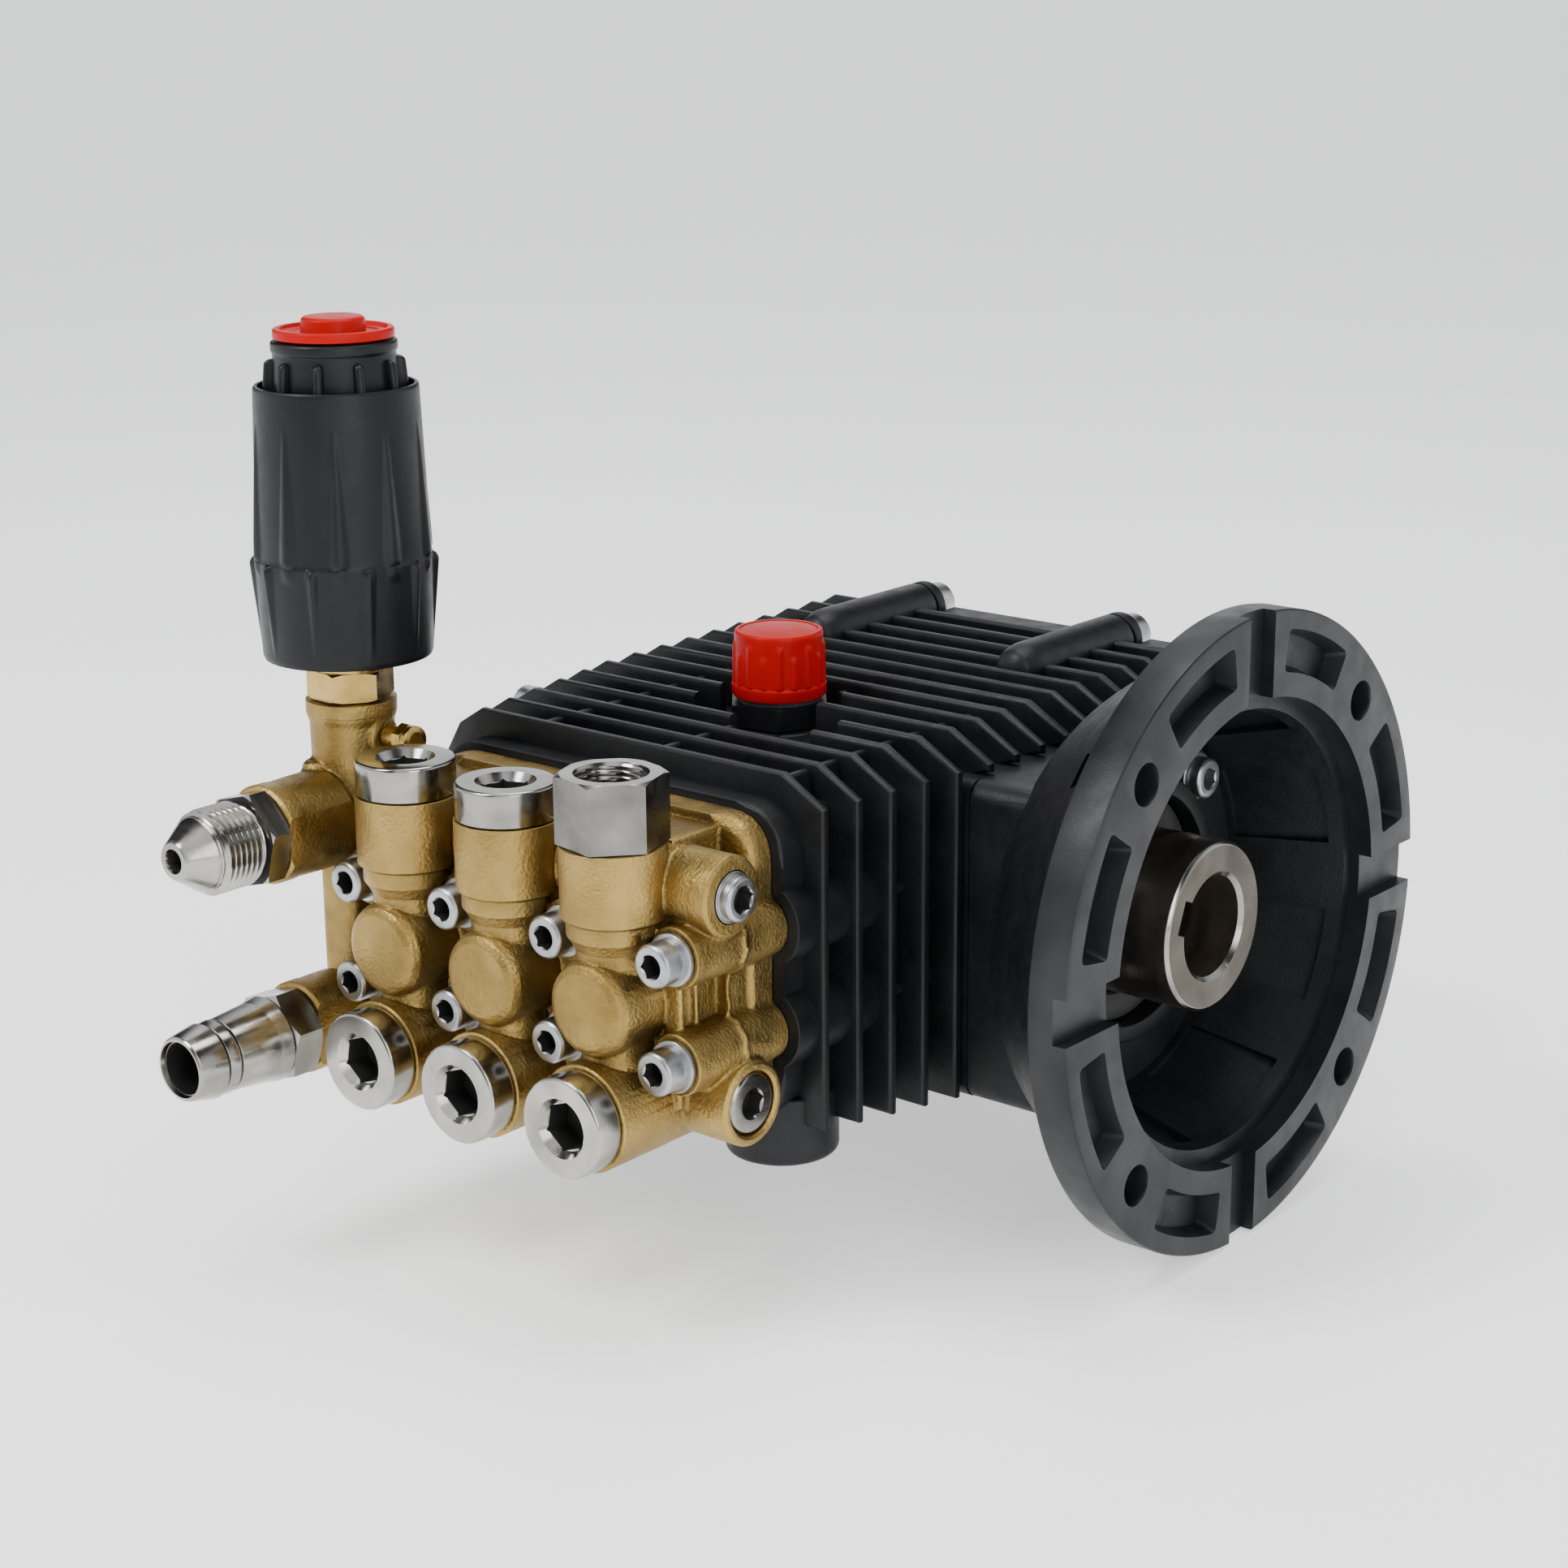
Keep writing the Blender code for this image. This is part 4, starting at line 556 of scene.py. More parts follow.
def flange_cutters():
    """The slots, pockets and bolt holes of the flange's face."""
    cutters = []
    bolt_hole = [(0, 3), (6.2, 3), (4.6, -0.5), (4.5, -17.5), (0, -17.5)]
    for i in range(4):
        slot = block((-3.3, 49, -5.25), (3, 78, 5.25))
        cutters.append(turned_about_x(slot, 90 * i))
        for start, stop in POCKETS:
            cutters.append(turned_about_x(pocket(start, stop, 1.3, -4.6), 90 * i))
        hole = lathe(bolt_hole, (0, FLANGE_BOLT, FLANGE_BOLT), OUT, 40, 0)
        cutters.append(turned_about_x(hole, 90 * i))
    return cutters


def pocket(start, stop, inset, depth):
    """One shallow pocket in the flange, with drafted sides."""
    outlines = []
    for grow in (-0.6, inset):
        turn = math.degrees(grow / 65.5)
        outlines.append(round_corners(sector(60.6 + grow, 70.4 - grow, start + turn, stop - turn), 1.8, 4))
    return slab(outlines[0], depth, 2, lambda u, v, w: (w, u, v), 0, 2, outlines[1])


def paint_by_place(body):
    """The face and rim are machined, and everything behind them is painted black."""
    body.data.materials.append(BLACK_PAINT)
    for polygon in body.data.polygons:
        x, y, z = polygon.center / MM
        radius = math.hypot(y, z)
        machined = x > -4.0 and radius > SPIGOT_R - 1 or x > -FLANGE_T - 0.2 and radius > FLANGE_R - 1
        bright = abs(radius - SPIGOT_R) < 1.0 and x > -5.6
        polygon.material_index = 0 if machined or bright else 1


def socket_head(at, axis, stand, turn=0.0, radius=4.9, height=6.0, key=5.0):
    """A socket-head screw: its head stands on the point at, lifted by a washer's thickness."""
    low, high = stand, stand + height
    depth = min(4.2, height - 0.8)
    profile = [(0, high), (radius - 0.6, high), (radius, high - 0.6), (radius, low), (0, low)]
    head = lathe(profile, sides=56, soft=0.25)
    key_hole = slab(hexagon(key, turn), high - depth, high + 1, lambda u, v, w: (u, v, w))
    over, under = high + 0.4, high - 0.45
    mouth = lathe([(0, over), (key * 0.62, over), (key * 0.5, under), (0, under)], sides=40, soft=0)
    cut(head, key_hole, mouth)
    return placed(head, at, axis)


def zinc_screw(name, at, axis, stand, turn, radius, height, key):
    """A screw of the castings, with painted shade inside its socket."""
    head = show(socket_head(at, axis, stand, turn, radius, height, key), name, ZINC)
    darken(head, at, axis, (key + 1) / 2, stand + 0.1, stand + height - 0.6)


# ---------------------------------------------------------------- crankcase

FIN_PITCH = 10.2
PANEL_Y = -83.0
FINS = 15
FIN_T = 2.6
REAR_Y = 70.0
CORE_HALF = 51.5
BASE_HALF_Y = 39.0
BASE_HALF_X = 57.6
RIDGE_Z = 44.3
BOLT_Z = 12.05
WEB_X = (-146.0, -109.0, -71.5)
FOOT_Y = (-77.0, 56.0)


def fin_shape(index):
    """A fin's outline. They widen towards the rear, and the middle ones stop above the bell's base."""
    half = 58.1 + 1.5 * min(index, 5)
    top, bottom = 44.6 + 0.13 * index, -36.5 - 0.85 * min(index, 6)
    y = PANEL_Y + FIN_PITCH * index
    far = [(-half, bottom + 8), (-half, top - 12), (-half + 4.5, top - 4.6), (-half + 12, top)]
    near = [(half - 11.7, top), (half, top - 6.6)]
    if abs(y + FIN_T / 2) < BASE_HALF_Y:
        near += [(half, 36.6), (BASE_HALF_X, 36.0), (BASE_HALF_X, bottom)]
        far = [(-BASE_HALF_X, bottom), (-BASE_HALF_X, 36.0), (-half, 36.6)] + far[2:]
    else:
        near += [(half, bottom)]
        far = [(-half, bottom)] + far[1:]
    return near + far, y


def across(u, v, w):
    """Places an outline drawn in X (from the middle cylinder) and Z, at Y = w."""
    return MID_X + u, w, v


def fins_and_webs():
    """The fins, the webs that join them above and at the sides, and the swellings over the bolts."""
    added = []
    for index in range(FINS):
        outline, y = fin_shape(index)
        added.append(slab(outline, y, y + FIN_T, across, 0.95, 3))
    start, stop = PANEL_Y + 1, PANEL_Y + FIN_PITCH * (FINS - 1)
    for x in WEB_X:
        added.append(block((x - 1.1, start, 30), (x + 1.1, stop, 43.2), 0.8, 1))
    stop = start + FIN_PITCH * 4
    for z in (13.0, -11.0):
        for side in (-1, 1):
            x0, x1 = sorted((MID_X + side * 45, MID_X + side * 57.0))
            added.append(block((x0, start, z - 1.2), (x1, stop, z + 1.2), 0.8, 1))
            bulge = (MID_X + side * 49.5, 0, math.copysign(BOLT_Z, z))
            added.append(rod(8.4, 60, -PANEL_Y - 0.5, bulge, FRONT, 32, 0.6))
    return added


def crankcase():
    """The finned casting, with its ridges, feet and filler boss."""
    core = block((MID_X - CORE_HALF, PANEL_Y + 0.2, -36.5), (MID_X + CORE_HALF, REAR_Y - 0.5, 36.8), 1.5)
    added = fins_and_webs()
    low, high = (MID_X - 57.8, -BASE_HALF_Y, -40.8), (-51.6, BASE_HALF_Y, 35.9)
    added.append(block(low, high, 4, 0))
    added.append(block((MID_X - 58, REAR_Y - 4.5, -39), (MID_X + 58, REAR_Y, 44), 9, 1))
    for side in (-1, 1):
        ridge = (MID_X + side * PITCH, 0, RIDGE_Z)
        shape = [(0, REAR_Y), (6.7, REAR_Y), (6.6, 29), (5.2, 24.5), (0, 22)]
        added.append(lathe(shape, ridge, REAR, 40, 1.5))
        for y in FOOT_Y:
            foot = [(0, -46), (12.2, -46), (13, -45), (13, -30), (0, -30)]
            added.append(lathe(foot, (MID_X + side * 41, y, 0), UP, 48, 0.8))
    fuse(core, *added, front_boss())
    filler = (MID_X, FILLER_Y, 0)
    fuse(core, lathe([(0, 37.4), (13.6, 37.4), (14.2, 30), (0, 30)], filler, UP, 64, 0.6))
    clear = [(0, 60), (16.2, 60), (15.4, 37.4), (0, 37.4)]
    near_gap = block((-111, -54.5, 37.4), (-87, -38, 60), 1.5, 2)
    wide_gap = block((-131, -44.5, 37.4), (-87, -34, 60), 1.5, 2)
    cut(core, lathe(clear, filler, UP, 64, 0), near_gap, wide_gap)
    cut(core, rod(7.3, 28, 40, filler, UP), *hollow())
    show(core, "crankcase_casting", BLACK_PAINT, ["crankcase"], angle=30)


def lobed_plate(half, low_z, high_z, corner, lobe_r, low, high, bevel=0.9):
    """A plate with rounded corners, and a lobe round the bolts at both ends."""
    outline = [(-half, low_z), (half, low_z), (half, high_z), (-half, high_z)]
    parts = [slab(round_corners(outline, corner, 7), low, high, across, bevel, 4)]
    for x, z in BOLTS:
        if abs(x - MID_X) > 40:
            parts.append(rod(lobe_r, -high, -low, (x, 0, z), FRONT, 64, 0.5))
    return parts


def front_boss():
    """The raised face that the manifold is bolted to."""
    parts = lobed_plate(52.4, -35.0, 38.6, 13, 10.0, -90.0, -78.0)
    return fuse(parts[0], *parts[1:])


def hollow():
    """The room inside for the crank, the conrods and the guides."""
    cutters = [block((MID_X - 42, -36, -33), (MID_X + 42, REAR_Y + 2, 33))]
    for side in (-1, 1):
        seat = [(0, 37), (27.6, 37), (27.6, 45.7), (31.1, 45.7), (31.1, 62), (0, 62)]
        cutters.append(lathe(seat, (MID_X, 0, 0), (side, 0, 0), 64, 0))
    for n in NUMBERS:
        bore = [(0, 32), (14.2, 32), (14.2, 77), (10, 77), (10, 83), (13.2, 83), (13.2, 92), (0, 92)]
        cutters.append(lathe(bore, (CYLINDER_X[n], 0, 0), FRONT, 48, 0))
    for x, z in BOLTS:
        cutters.append(rod(3.3, 72, 92, (x, 0, z), FRONT, 24))
    return cutters


def rear_cover():
    """The rear cover, its sight disc and its six screws."""
    behind = (MID_X, 0, 0)
    ridges = [(MID_X + side * PITCH, 0, RIDGE_Z) for side in (-1, 1)]
    cover = block((MID_X - 58, REAR_Y + 0.3, -39), (MID_X + 58, REAR_Y + 7, 44), 9, 1, 6)
    lugs = [rod(6.7, REAR_Y + 0.3, REAR_Y + 3.4, ridge, REAR, 40, 0.5) for ridge in ridges]
    ribs = []
    for x in (MID_X - 36, MID_X + 36):
        ribs.append(block((x - 1.2, REAR_Y + 5, -30), (x + 1.2, REAR_Y + 8.4, 34), 0.7))
    boss = lathe([(0, 79.4), (16, 79.4), (17, 74), (0, 74)], behind, REAR, 72, 0.6)
    fuse(cover, *lugs, *ribs, boss)
    recesses = [rod(6.9, REAR_Y + 3.4, REAR_Y + 9, ridge, REAR, 40) for ridge in ridges]
    window = lathe([(0, 82), (11.6, 82), (11, 76.4), (0, 76.4)], behind, REAR, 64, 0)
    cut(cover, window, *recesses)
    show(cover, "rear_cover_casting", BLACK_PAINT, ["rear_cover"])
    disc = [(0, 77.2), (9, 77.2), (10.8, 76.7), (10.8, 76.5), (0, 76.5)]
    show(lathe(disc, behind, REAR, 64, 0.1), "oil_sight_disc", ZINC)
    screws = [(side * PITCH, RIDGE_Z, 3.45, 6.4, 5.3) for side in (-1, 1)]
    screws += [(side * 50, z, 7.05, 2.9, 4.4) for side in (-1, 1) for z in (-31, 4)]
    for i, (x, z, stand, height, radius) in enumerate(screws):
        place = (MID_X + x, REAR_Y + stand, z)
        zinc_screw(f"rear_screw_{i}", place, REAR, 0, 9 * i, radius, height, 4)


def side_cover():
    """The cover over the far bearing, its four screws, and the stud above them."""
    side_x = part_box("side_cover")[1][0] / MM
    middle_at = (side_x, 0, 0)
    plate = block((side_x - 7, -38.8, -41), (side_x, 38.8, 36), 8, 0, 6)
    dome = lathe([(0, 0), (30, 0), (30, 7), (26.5, 11), (0, 11)], middle_at, FAR, 96, 1.2)
    ribs = []
    for i in range(6):
        rib = block((side_x - 9.5, 24, -1.3), (side_x - 5, 35, 1.3), 0.7)
        ribs.append(turned_about_x(rib, 60 * i + 30))
    fuse(plate, dome, *ribs)
    cut(plate, rod(22, -2, 6, middle_at, FAR))
    show(plate, "side_cover_casting", BLACK_PAINT, ["side_cover"])
    for i, (y, z) in enumerate([(-32, -32), (32, -32), (-32, 27.5), (32, 27.5)]):
        place = (side_x - 7.05, y, z)
        zinc_screw(f"side_screw_{i}", place, FAR, 0, 11 * i, 4.4, 2.9, 4)
    place = (-178.5, -47.4, 35.6)
    stud = socket_head(place, FAR, 0, 20, 4.6, 5.0, 4)
    fuse(stud, rod(2.6, -12, 1, place, FAR, 24))
    show(stud, "side_stud_turned", ZINC)


# ---------------------------------------------------------------- manifold

MATING_Y = -90.3
# Each gallery runs along X: its Y, Z, outside radius, and the X of its end towards the motor
GALLERIES = {"high": (-109.0, 24.5, 9.0, -62.0), "low": (-104.5, -23.4, 9.6, -60.5)}
GALLERY_FAR_X = -167.6
WALL_HALF = 48.5
WEB_HALF = 45.2
BOLT_BOSS_R = 7.05


def barrel_profile(radius, top, bottom):
    """The discharge barrel: a thick top, a groove under its shoulder, and a narrower root."""
    groove, root = radius - 1.2, radius - 3.1
    shoulder = [(radius, 19.4), (groove, 18.7), (groove, 15.2), (radius - 1.9, 14.3), (root, 12.2)]
    return [(0, top), (radius, top)] + shoulder + [(root, bottom), (0, bottom)]


def dome_profile(radius, back):
    """The closed front end of a plunger barrel: a nearly flat disc with a tight shoulder."""
    crown = [(0, 132.0), (radius - 2.6, 131.7), (radius - 1.0, 130.8), (radius - 0.2, 129.0)]
    return crown + [(radius, 126.0), (radius + 0.3, back), (0, back)]


def cast_cylinder(n):
    """The rough outside of one cylinder: discharge barrel, plunger dome, neck and suction barrel."""
    x = CYLINDER_X[n]
    return [
        lathe(barrel_profile(11.5, 34.6, 4), (x, DISCHARGE_Y, 0), UP, 64, 0.3),
        lathe(dome_profile(10.9, 92), (x, 0, 0), FRONT, 64, 0.5),
        lathe([(0, 0), (7.6, 0), (7.8, SUCTION_Z), (0, SUCTION_Z)], (x, DISCHARGE_Y, 0), UP, 48, 0),
        lathe([(0, 130.5), (12.0, 130.5), (12.2, 92), (0, 92)], (x, 0, SUCTION_Z), FRONT, 64, 0.3),
    ]


def crisp_cylinder(n):
    """What keeps its sharp edges: barrels and domes, a touch larger than the rough casting under them."""
    x = CYLINDER_X[n]
    suction = [(0, 132.5), (11.9, 132.5), (12.2, 132.2), (12.2, 113), (0, 113)]
    return [
        lathe(barrel_profile(11.72, 35.2, 9), (x, DISCHARGE_Y, 0), UP, 96, 0.25),
        lathe(dome_profile(11.02, 112), (x, 0, 0), FRONT, 96, 0.4),
        lathe(suction, (x, 0, SUCTION_Z), FRONT, 96, 0.15),
    ]


def tube(path, radius):
    """A thin round bead along a path, such as the flash at a casting's parting line."""
    curve = bpy.data.curves.new("bead", "CURVE")
    curve.dimensions = "3D"
    spline = curve.splines.new("POLY")
    spline.points.add(len(path) - 1)
    for point, co in zip(spline.points, path):
        point.co = (co[0] * MM, co[1] * MM, co[2] * MM, 1.0)
    curve.bevel_depth = radius * MM
    curve.bevel_resolution = 2
    curve.use_fill_caps = True
    obj = bpy.data.objects.new("bead", curve)
    bpy.context.scene.collection.objects.link(obj)
    bpy.context.view_layer.update()
    graph = bpy.context.evaluated_depsgraph_get()
    mesh = bpy.data.meshes.new_from_object(obj.evaluated_get(graph))
    solid = bpy.data.objects.new("bead", mesh)
    bpy.context.scene.collection.objects.link(solid)
    bpy.data.objects.remove(obj, do_unlink=True)
    return solid


def parting_line(side):
    """The uneven bead that runs down one side, over both bolt bosses and the wall between them."""
    path = []
    wall = MID_X + side * WALL_HALF
    bolt_x = MID_X + side * 47.1
    arc = [math.radians(a) for a in range(75, -76, -10)]
    for z0 in (BOLT_Z, -BOLT_Z):
        path += [(bolt_x + side * BOLT_BOSS_R * math.cos(a), z0 + BOLT_BOSS_R * math.sin(a)) for a in arc]
        if z0 > 0:
            path += [(wall + side * 0.1, z) for z in (4.4, 2.4, 0.4, -1.6, -3.6, -5.0)]
    points = []
    for i, (x, z) in enumerate(path):
        points.append((x, -104.0 + 0.35 * math.sin(1.7 * i) + 0.25 * math.sin(0.6 * i), z))
    return tube(points, 0.5)


def rough_manifold():
    """The pieces that are cast together, with fillets where they meet."""
    parts = []
    for n in NUMBERS:
        parts += cast_cylinder(n)
    parts += lobed_plate(49.5, -33.0, 37.0, 11, 7.0, -97.0, -84.0, 3.2)
    for x, z in BOLTS:
        parts.append(rod(7.0, 86, 119.2, (x, 0, z), FRONT, 64, 0.5))
    for y, z, radius, near in GALLERIES.values():
        parts.append(rod(radius, GALLERY_FAR_X, near - 0.6, (0, y, z), OUT, 64, 0.5))
    parts.append(block((MID_X - WALL_HALF, -104.0, -19), (MID_X + WALL_HALF, -86, 19), 0.8))
    parts.append(block((MID_X - WEB_HALF, -116.5, SUCTION_Z), (MID_X + WEB_HALF, -90, 20), 0.8))
    parts.append(block((MID_X - PITCH - 9, -114.0, 14), (MID_X + PITCH + 9, -94, 34.6), 0.6))
    for side in (-1, 1):
        edge = MID_X + side * WEB_HALF
        x0, x1 = sorted((edge - side * 3, edge + side * 1.6))
        parts.append(block((x0, -117.6, -7), (x1, -115.9, 7), 0.4))
        parts.append(block((x0, -112.6, -7), (x1, -111.2, 7), 0.4))
        parts.append(parting_line(side))
    return parts


def manifold():
    """The brass casting, with its machined ends and edges, and everything bored in it."""
    body = cast(rough_manifold(), 0.5, 3)
    crisp = [block((MID_X - PITCH - 9, -112.0, 30), (MID_X + PITCH + 9, -96, 35.0), 0.5)]
    for n in NUMBERS:
        crisp += crisp_cylinder(n)
    for y, z, radius, near in GALLERIES.values():
        rim = [(0, near), (radius - 0.7, near), (radius, near - 0.7), (radius, near - 5), (0, near - 5)]
        crisp.append(lathe(rim, (0, y, z), OUT, 72, 0.15))
    for x, z in BOLTS:
        crisp.append(rod(6.95, 108, 119.6, (x, 0, z), FRONT, 64, 0.35))
    fuse(body, *crisp)
    cut(body, block((-190, MATING_Y, -60), (-40, -70, 60)), *manifold_bores())
    show(body, "manifold_casting", CAST_BRASS, ["manifold"], angle=38)


def manifold_bores():
    """Plunger chambers, valve bores, bolt ways, and the two galleries."""
    cutters = []
    for n in NUMBERS:
        x = CYLINDER_X[n]
        chamber = [(0, 85), (12.8, 85), (12.8, 104.1), (9.7, 104.1), (9.7, 123.5), (0, 123.5)]
        cutters.append(lathe(chamber, (x, 0, 0), FRONT, 48, 0))
        discharge = [(0, 60), (9.0, 60), (9.0, 14), (5.0, 14), (5.0, -22), (0, -22)]
        cutters.append(lathe(discharge, (x, DISCHARGE_Y, 0), UP, 48, 0))
        suction = [(0, 140), (9.0, 140), (9.0, 111), (5, 111), (5, 103), (0, 103)]
        cutters.append(lathe(suction, (x, 0, SUCTION_Z), FRONT, 48, 0))
    for x, z in BOLTS:
        way = [(0, 135), (6.6, 135), (6.6, 119.5), (3.4, 119.5), (3.4, 84), (0, 84)]
        cutters.append(lathe(way, (x, 0, z), FRONT, 40, 0))
    for key, (y, z, _, near) in GALLERIES.items():
        if key == "low":
            seat = [(0, near + 2), (8.4, near + 0.4), (7.4, near - 0.6), (7.4, near - 2.5), (0, near - 2.5)]
            cutters.append(lathe(seat, (0, y, z), OUT, 72, 0))
        cutters.append(rod(6.0, near - 10, near + 2, (0, y, z), OUT))
        cutters.append(rod(4.0, GALLERY_FAR_X - 2, near, (0, y, z), OUT))
    return cutters


CAP_TAIL_R = 8.6
CAP_TAIL = 9
CAP_KEY = 10.2


def plug_cap(name, node, at, axis, seat, face, radius):
    """A screwed cap with a hexagon socket in a wide cone."""
    head = [(0, face), (radius - 0.5, face), (radius, face - 0.5), (radius, seat)]
    profile = head + [(CAP_TAIL_R, seat), (CAP_TAIL_R, seat - CAP_TAIL), (0, seat - CAP_TAIL)]
    cap = lathe(profile, sides=96, soft=0.3)
    under = face - 1.9
    cone = lathe([(0, face + 1), (7.4, face + 1), (6.8, face), (5.5, under), (0, under)], sides=64, soft=0)
    key = slab(hexagon(CAP_KEY, 20), face - 7.9, face + 1, lambda u, v, w: (u, v, w))
    keyed = combine(key, [rod(8, face - 9, face - 1.0, (0, 0, 0), UP)], "INTERSECT")
    cut(cap, cone, keyed)
    placed(cap, at, axis)
    finish = BRIGHT_Y if axis == FRONT else BRIGHT_Z
    show(cap, name, finish, [node])
    # painted shade inside the hexagon socket
    darken(cap, at, axis, 6.2, face - 8.2, face - 2.2)


def gallery_plug(node, key, radius, seat, face, flats, finish):
    """A socket plug in the motor-side end of a gallery."""
    y, z = GALLERIES[key][:2]
    at = (0, y, z)
    head = [(0, face), (radius - 0.7, face), (radius, face - 0.7), (radius, seat + 0.3)]
    plug = lathe(head + [(5.7, seat + 0.3), (5.7, seat - 7), (0, seat - 7)], at, OUT, 64, 0.25)
    over, under = face + 0.5, face - 0.6
    mouth = lathe([(0, over), (flats * 0.62, over), (flats * 0.5, under), (0, under)], at, OUT, 40, 0)
    hole = slab(hexagon(flats, 10), face - 4, face + 1, lambda u, v, w: (w, y + u, z + v))
    cut(plug, hole, mouth)
    show(plug, f"{node}_turned", finish, [node])
    # painted shade inside the hexagon socket
    darken(plug, at, OUT, flats * 0.6, face - 5, face - 0.7)


def caps_and_plugs():
    """The suction and discharge caps, and the plugs in the galleries' near ends."""
    for n in NUMBERS:
        x = CYLINDER_X[n]
        at = (x, 0, SUCTION_Z)
        plug_cap(f"suction_cap_turned_{n}", f"suction_cap_{n}", at, FRONT, 132.7, 139.5, 11.4)
        if n != 1:
            at = (x, DISCHARGE_Y, 0)
            plug_cap(f"discharge_cap_turned_{n}", f"discharge_cap_{n}", at, UP, 35.5, 43.5, 11.35)
    high_x, low_x = GALLERIES["high"][3], GALLERIES["low"][3]
    gallery_plug("discharge_gallery_plug", "high", 4.95, high_x, high_x + 3, 5.6, ZINC)
    gallery_plug("suction_gallery_plug", "low", 7.0, low_x - 2.5, low_x - 0.4, 6.4, BRIGHT_Z)


def gauge_fitting():
    """The tall hexagon on the near barrel. Its flats are milled, and its port is threaded."""
    place = (CYLINDER_X[1], DISCHARGE_Y, 0)
    fitting = hex_bar(21.4, 35.5, 50.7, place, UP, -12, 1.3, (False, True))
    fuse(fitting, rod(8.6, 27.5, 37, place, UP))
    port = thread(8.3, 7.5, 1.34, 38, 53, place, UP)
    mouth = lathe([(0, 52), (9.2, 52), (7.4, 49.6), (0, 49.6)], place, UP, 64, 0)
    cut(fitting, port, mouth, rod(3, 20, 45, place, UP))
    show(fitting, "gauge_fitting_turned", BRIGHT_Z, ["gauge_fitting"], angle=25)
    fitting.data.materials.append(MILLED)
    for polygon in fitting.data.polygons:
        if abs(polygon.normal.z) < 0.1:
            polygon.material_index = 1
    # painted shade inside the threaded port and the bore under it
    darken(fitting, place, UP, 7.9, 20, 46.0)


def head_bolts():
    """The eight screws that hold the manifold, each with its washer and shank."""
    for i, (x, z) in enumerate(BOLTS, 1):
        head = socket_head((x, 0, z), FRONT, 120.9, 17 * i)
        fuse(head, rod(3.0, 75, 122, (x, 0, z), FRONT, 24))
        fuse(head, rod(5.9, 119.6, 121.0, (x, 0, z), FRONT, 56, 0.25))
        show(head, f"head_bolt_turned_{i}", ZINC, [f"head_bolt_{i}"])
        # painted shade inside the hexagon socket
        darken(head, (x, 0, z), FRONT, 3.0, 122.0, 126.4)


# ---------------------------------------------------------------- unloader and hose connections


SCREW_Z = 42.6


def unloader():
    """The unloader's brass block: tower, outlet and inlet arms, and the way down to the suction gallery."""
    x, y = KNOB_X, KNOB_Y
    end = GALLERY_FAR_X - 0.3
    joint_y, joint_z = GALLERIES["low"][:2]
    tower = [(0, 50.4), (10.5, 50.4), (10.5, 46.6), (9.9, 45.6), (9.8, 38), (9.8, 12), (0, 12)]
    swell = [(0, 34), (8.6, 33), (10.9, 28.5), (11.2, 23.5), (10.4, 17), (8, 12.5), (0, 12)]
    outlet = [(0, 137.0), (11.3, 137.0), (11.6, 126), (11.6, 119.6), (8.7, 117.5), (8.5, 100), (0, 100)]
    inlet = [(0, 132.4), (10.6, 132.4), (10.9, 126), (10.9, 119.6), (7.8, 117.5), (7.6, 100), (0, 100)]
    parts = [
        lathe(tower, (x, y, 0), UP, 64, 0.4),
        lathe(swell, (x - 1.5, y - 2, 0), UP, 64, 1),
        lathe(outlet, (x, 0, OUTLET_Z), FRONT, 64, 0.5),
        lathe(inlet, (INLET_X, 0, SUCTION_Z), FRONT, 64, 0.5),
        block((x - 7, y - 7, SUCTION_Z), (x + 5.2, y + 8, 20), 2.5),
        rod(5.6, x, end, (0, joint_y, joint_z), OUT, 40, 0),
        lathe([(0, 37), (3.6, 36.5), (4.6, 33), (4.6, 20), (0, 20)], (x - 2.5, y - 8.6, 0), UP, 40, 1),
        rod(4.1, x, x + 10.4, (0, y + 1, SCREW_Z), OUT, 40, 0.3),
    ]
    body = cast(parts, 0.5, 4)
    collar = [(0, 50.5), (10.6, 50.5), (10.6, 47.4), (9.9, 46.8), (0, 46.8)]
    outlet_rim = [(0, 138.7), (10.9, 138.7), (11.6, 138.0), (11.6, 134), (0, 134)]
    inlet_rim = [(0, 133.4), (10.3, 133.4), (11.0, 132.7), (11.0, 129), (0, 129)]
    crisp = [
        lathe(collar, (x, y, 0), UP, 96, 0.2),
        lathe(outlet_rim, (x, 0, OUTLET_Z), FRONT, 96, 0.2),
        lathe(inlet_rim, (INLET_X, 0, SUCTION_Z), FRONT, 96, 0.2),
    ]
    fuse(body, *crisp)
    regulator = [(0, 60), (7.3, 60), (7.3, 16.0), (4.0, 16.0), (4.0, SUCTION_Z), (0, SUCTION_Z)]
    cut(
        body,
        lathe(regulator, (x, y, 0), UP, 48, 0),
        rod(7.1, 108, 150, (x, 0, OUTLET_Z), FRONT),
        rod(7.5, 108, 150, (INLET_X, 0, SUCTION_Z), FRONT),
        rod(4.0, x, x + 30, (0, joint_y, joint_z), OUT),
        rod(4.4, x, x + 30, (0, *GALLERIES["high"][:2]), OUT),
        block((end, -160, -60), (-150, -90, 38.4)),
    )
    show(body, "unloader_casting", CAST_BRASS, ["unloader_block"], angle=38)


def unloader_nut():
    """The hexagon under the knob, with the neck that the knob screws on."""
    place = (KNOB_X, KNOB_Y, 0)
    nut = hex_bar(17.5, 50.9, 57.6, place, UP, -6, 0.9)
    fuse(nut, rod(8.5, 57, 80, place, UP, 56, 0.4), rod(6.9, 40, 52, place, UP))
    cut(nut, rod(3.4, 30, 90, place, UP))
    show(nut, "unloader_nut_turned", BAR_BRASS, ["unloader_nut"], angle=25)


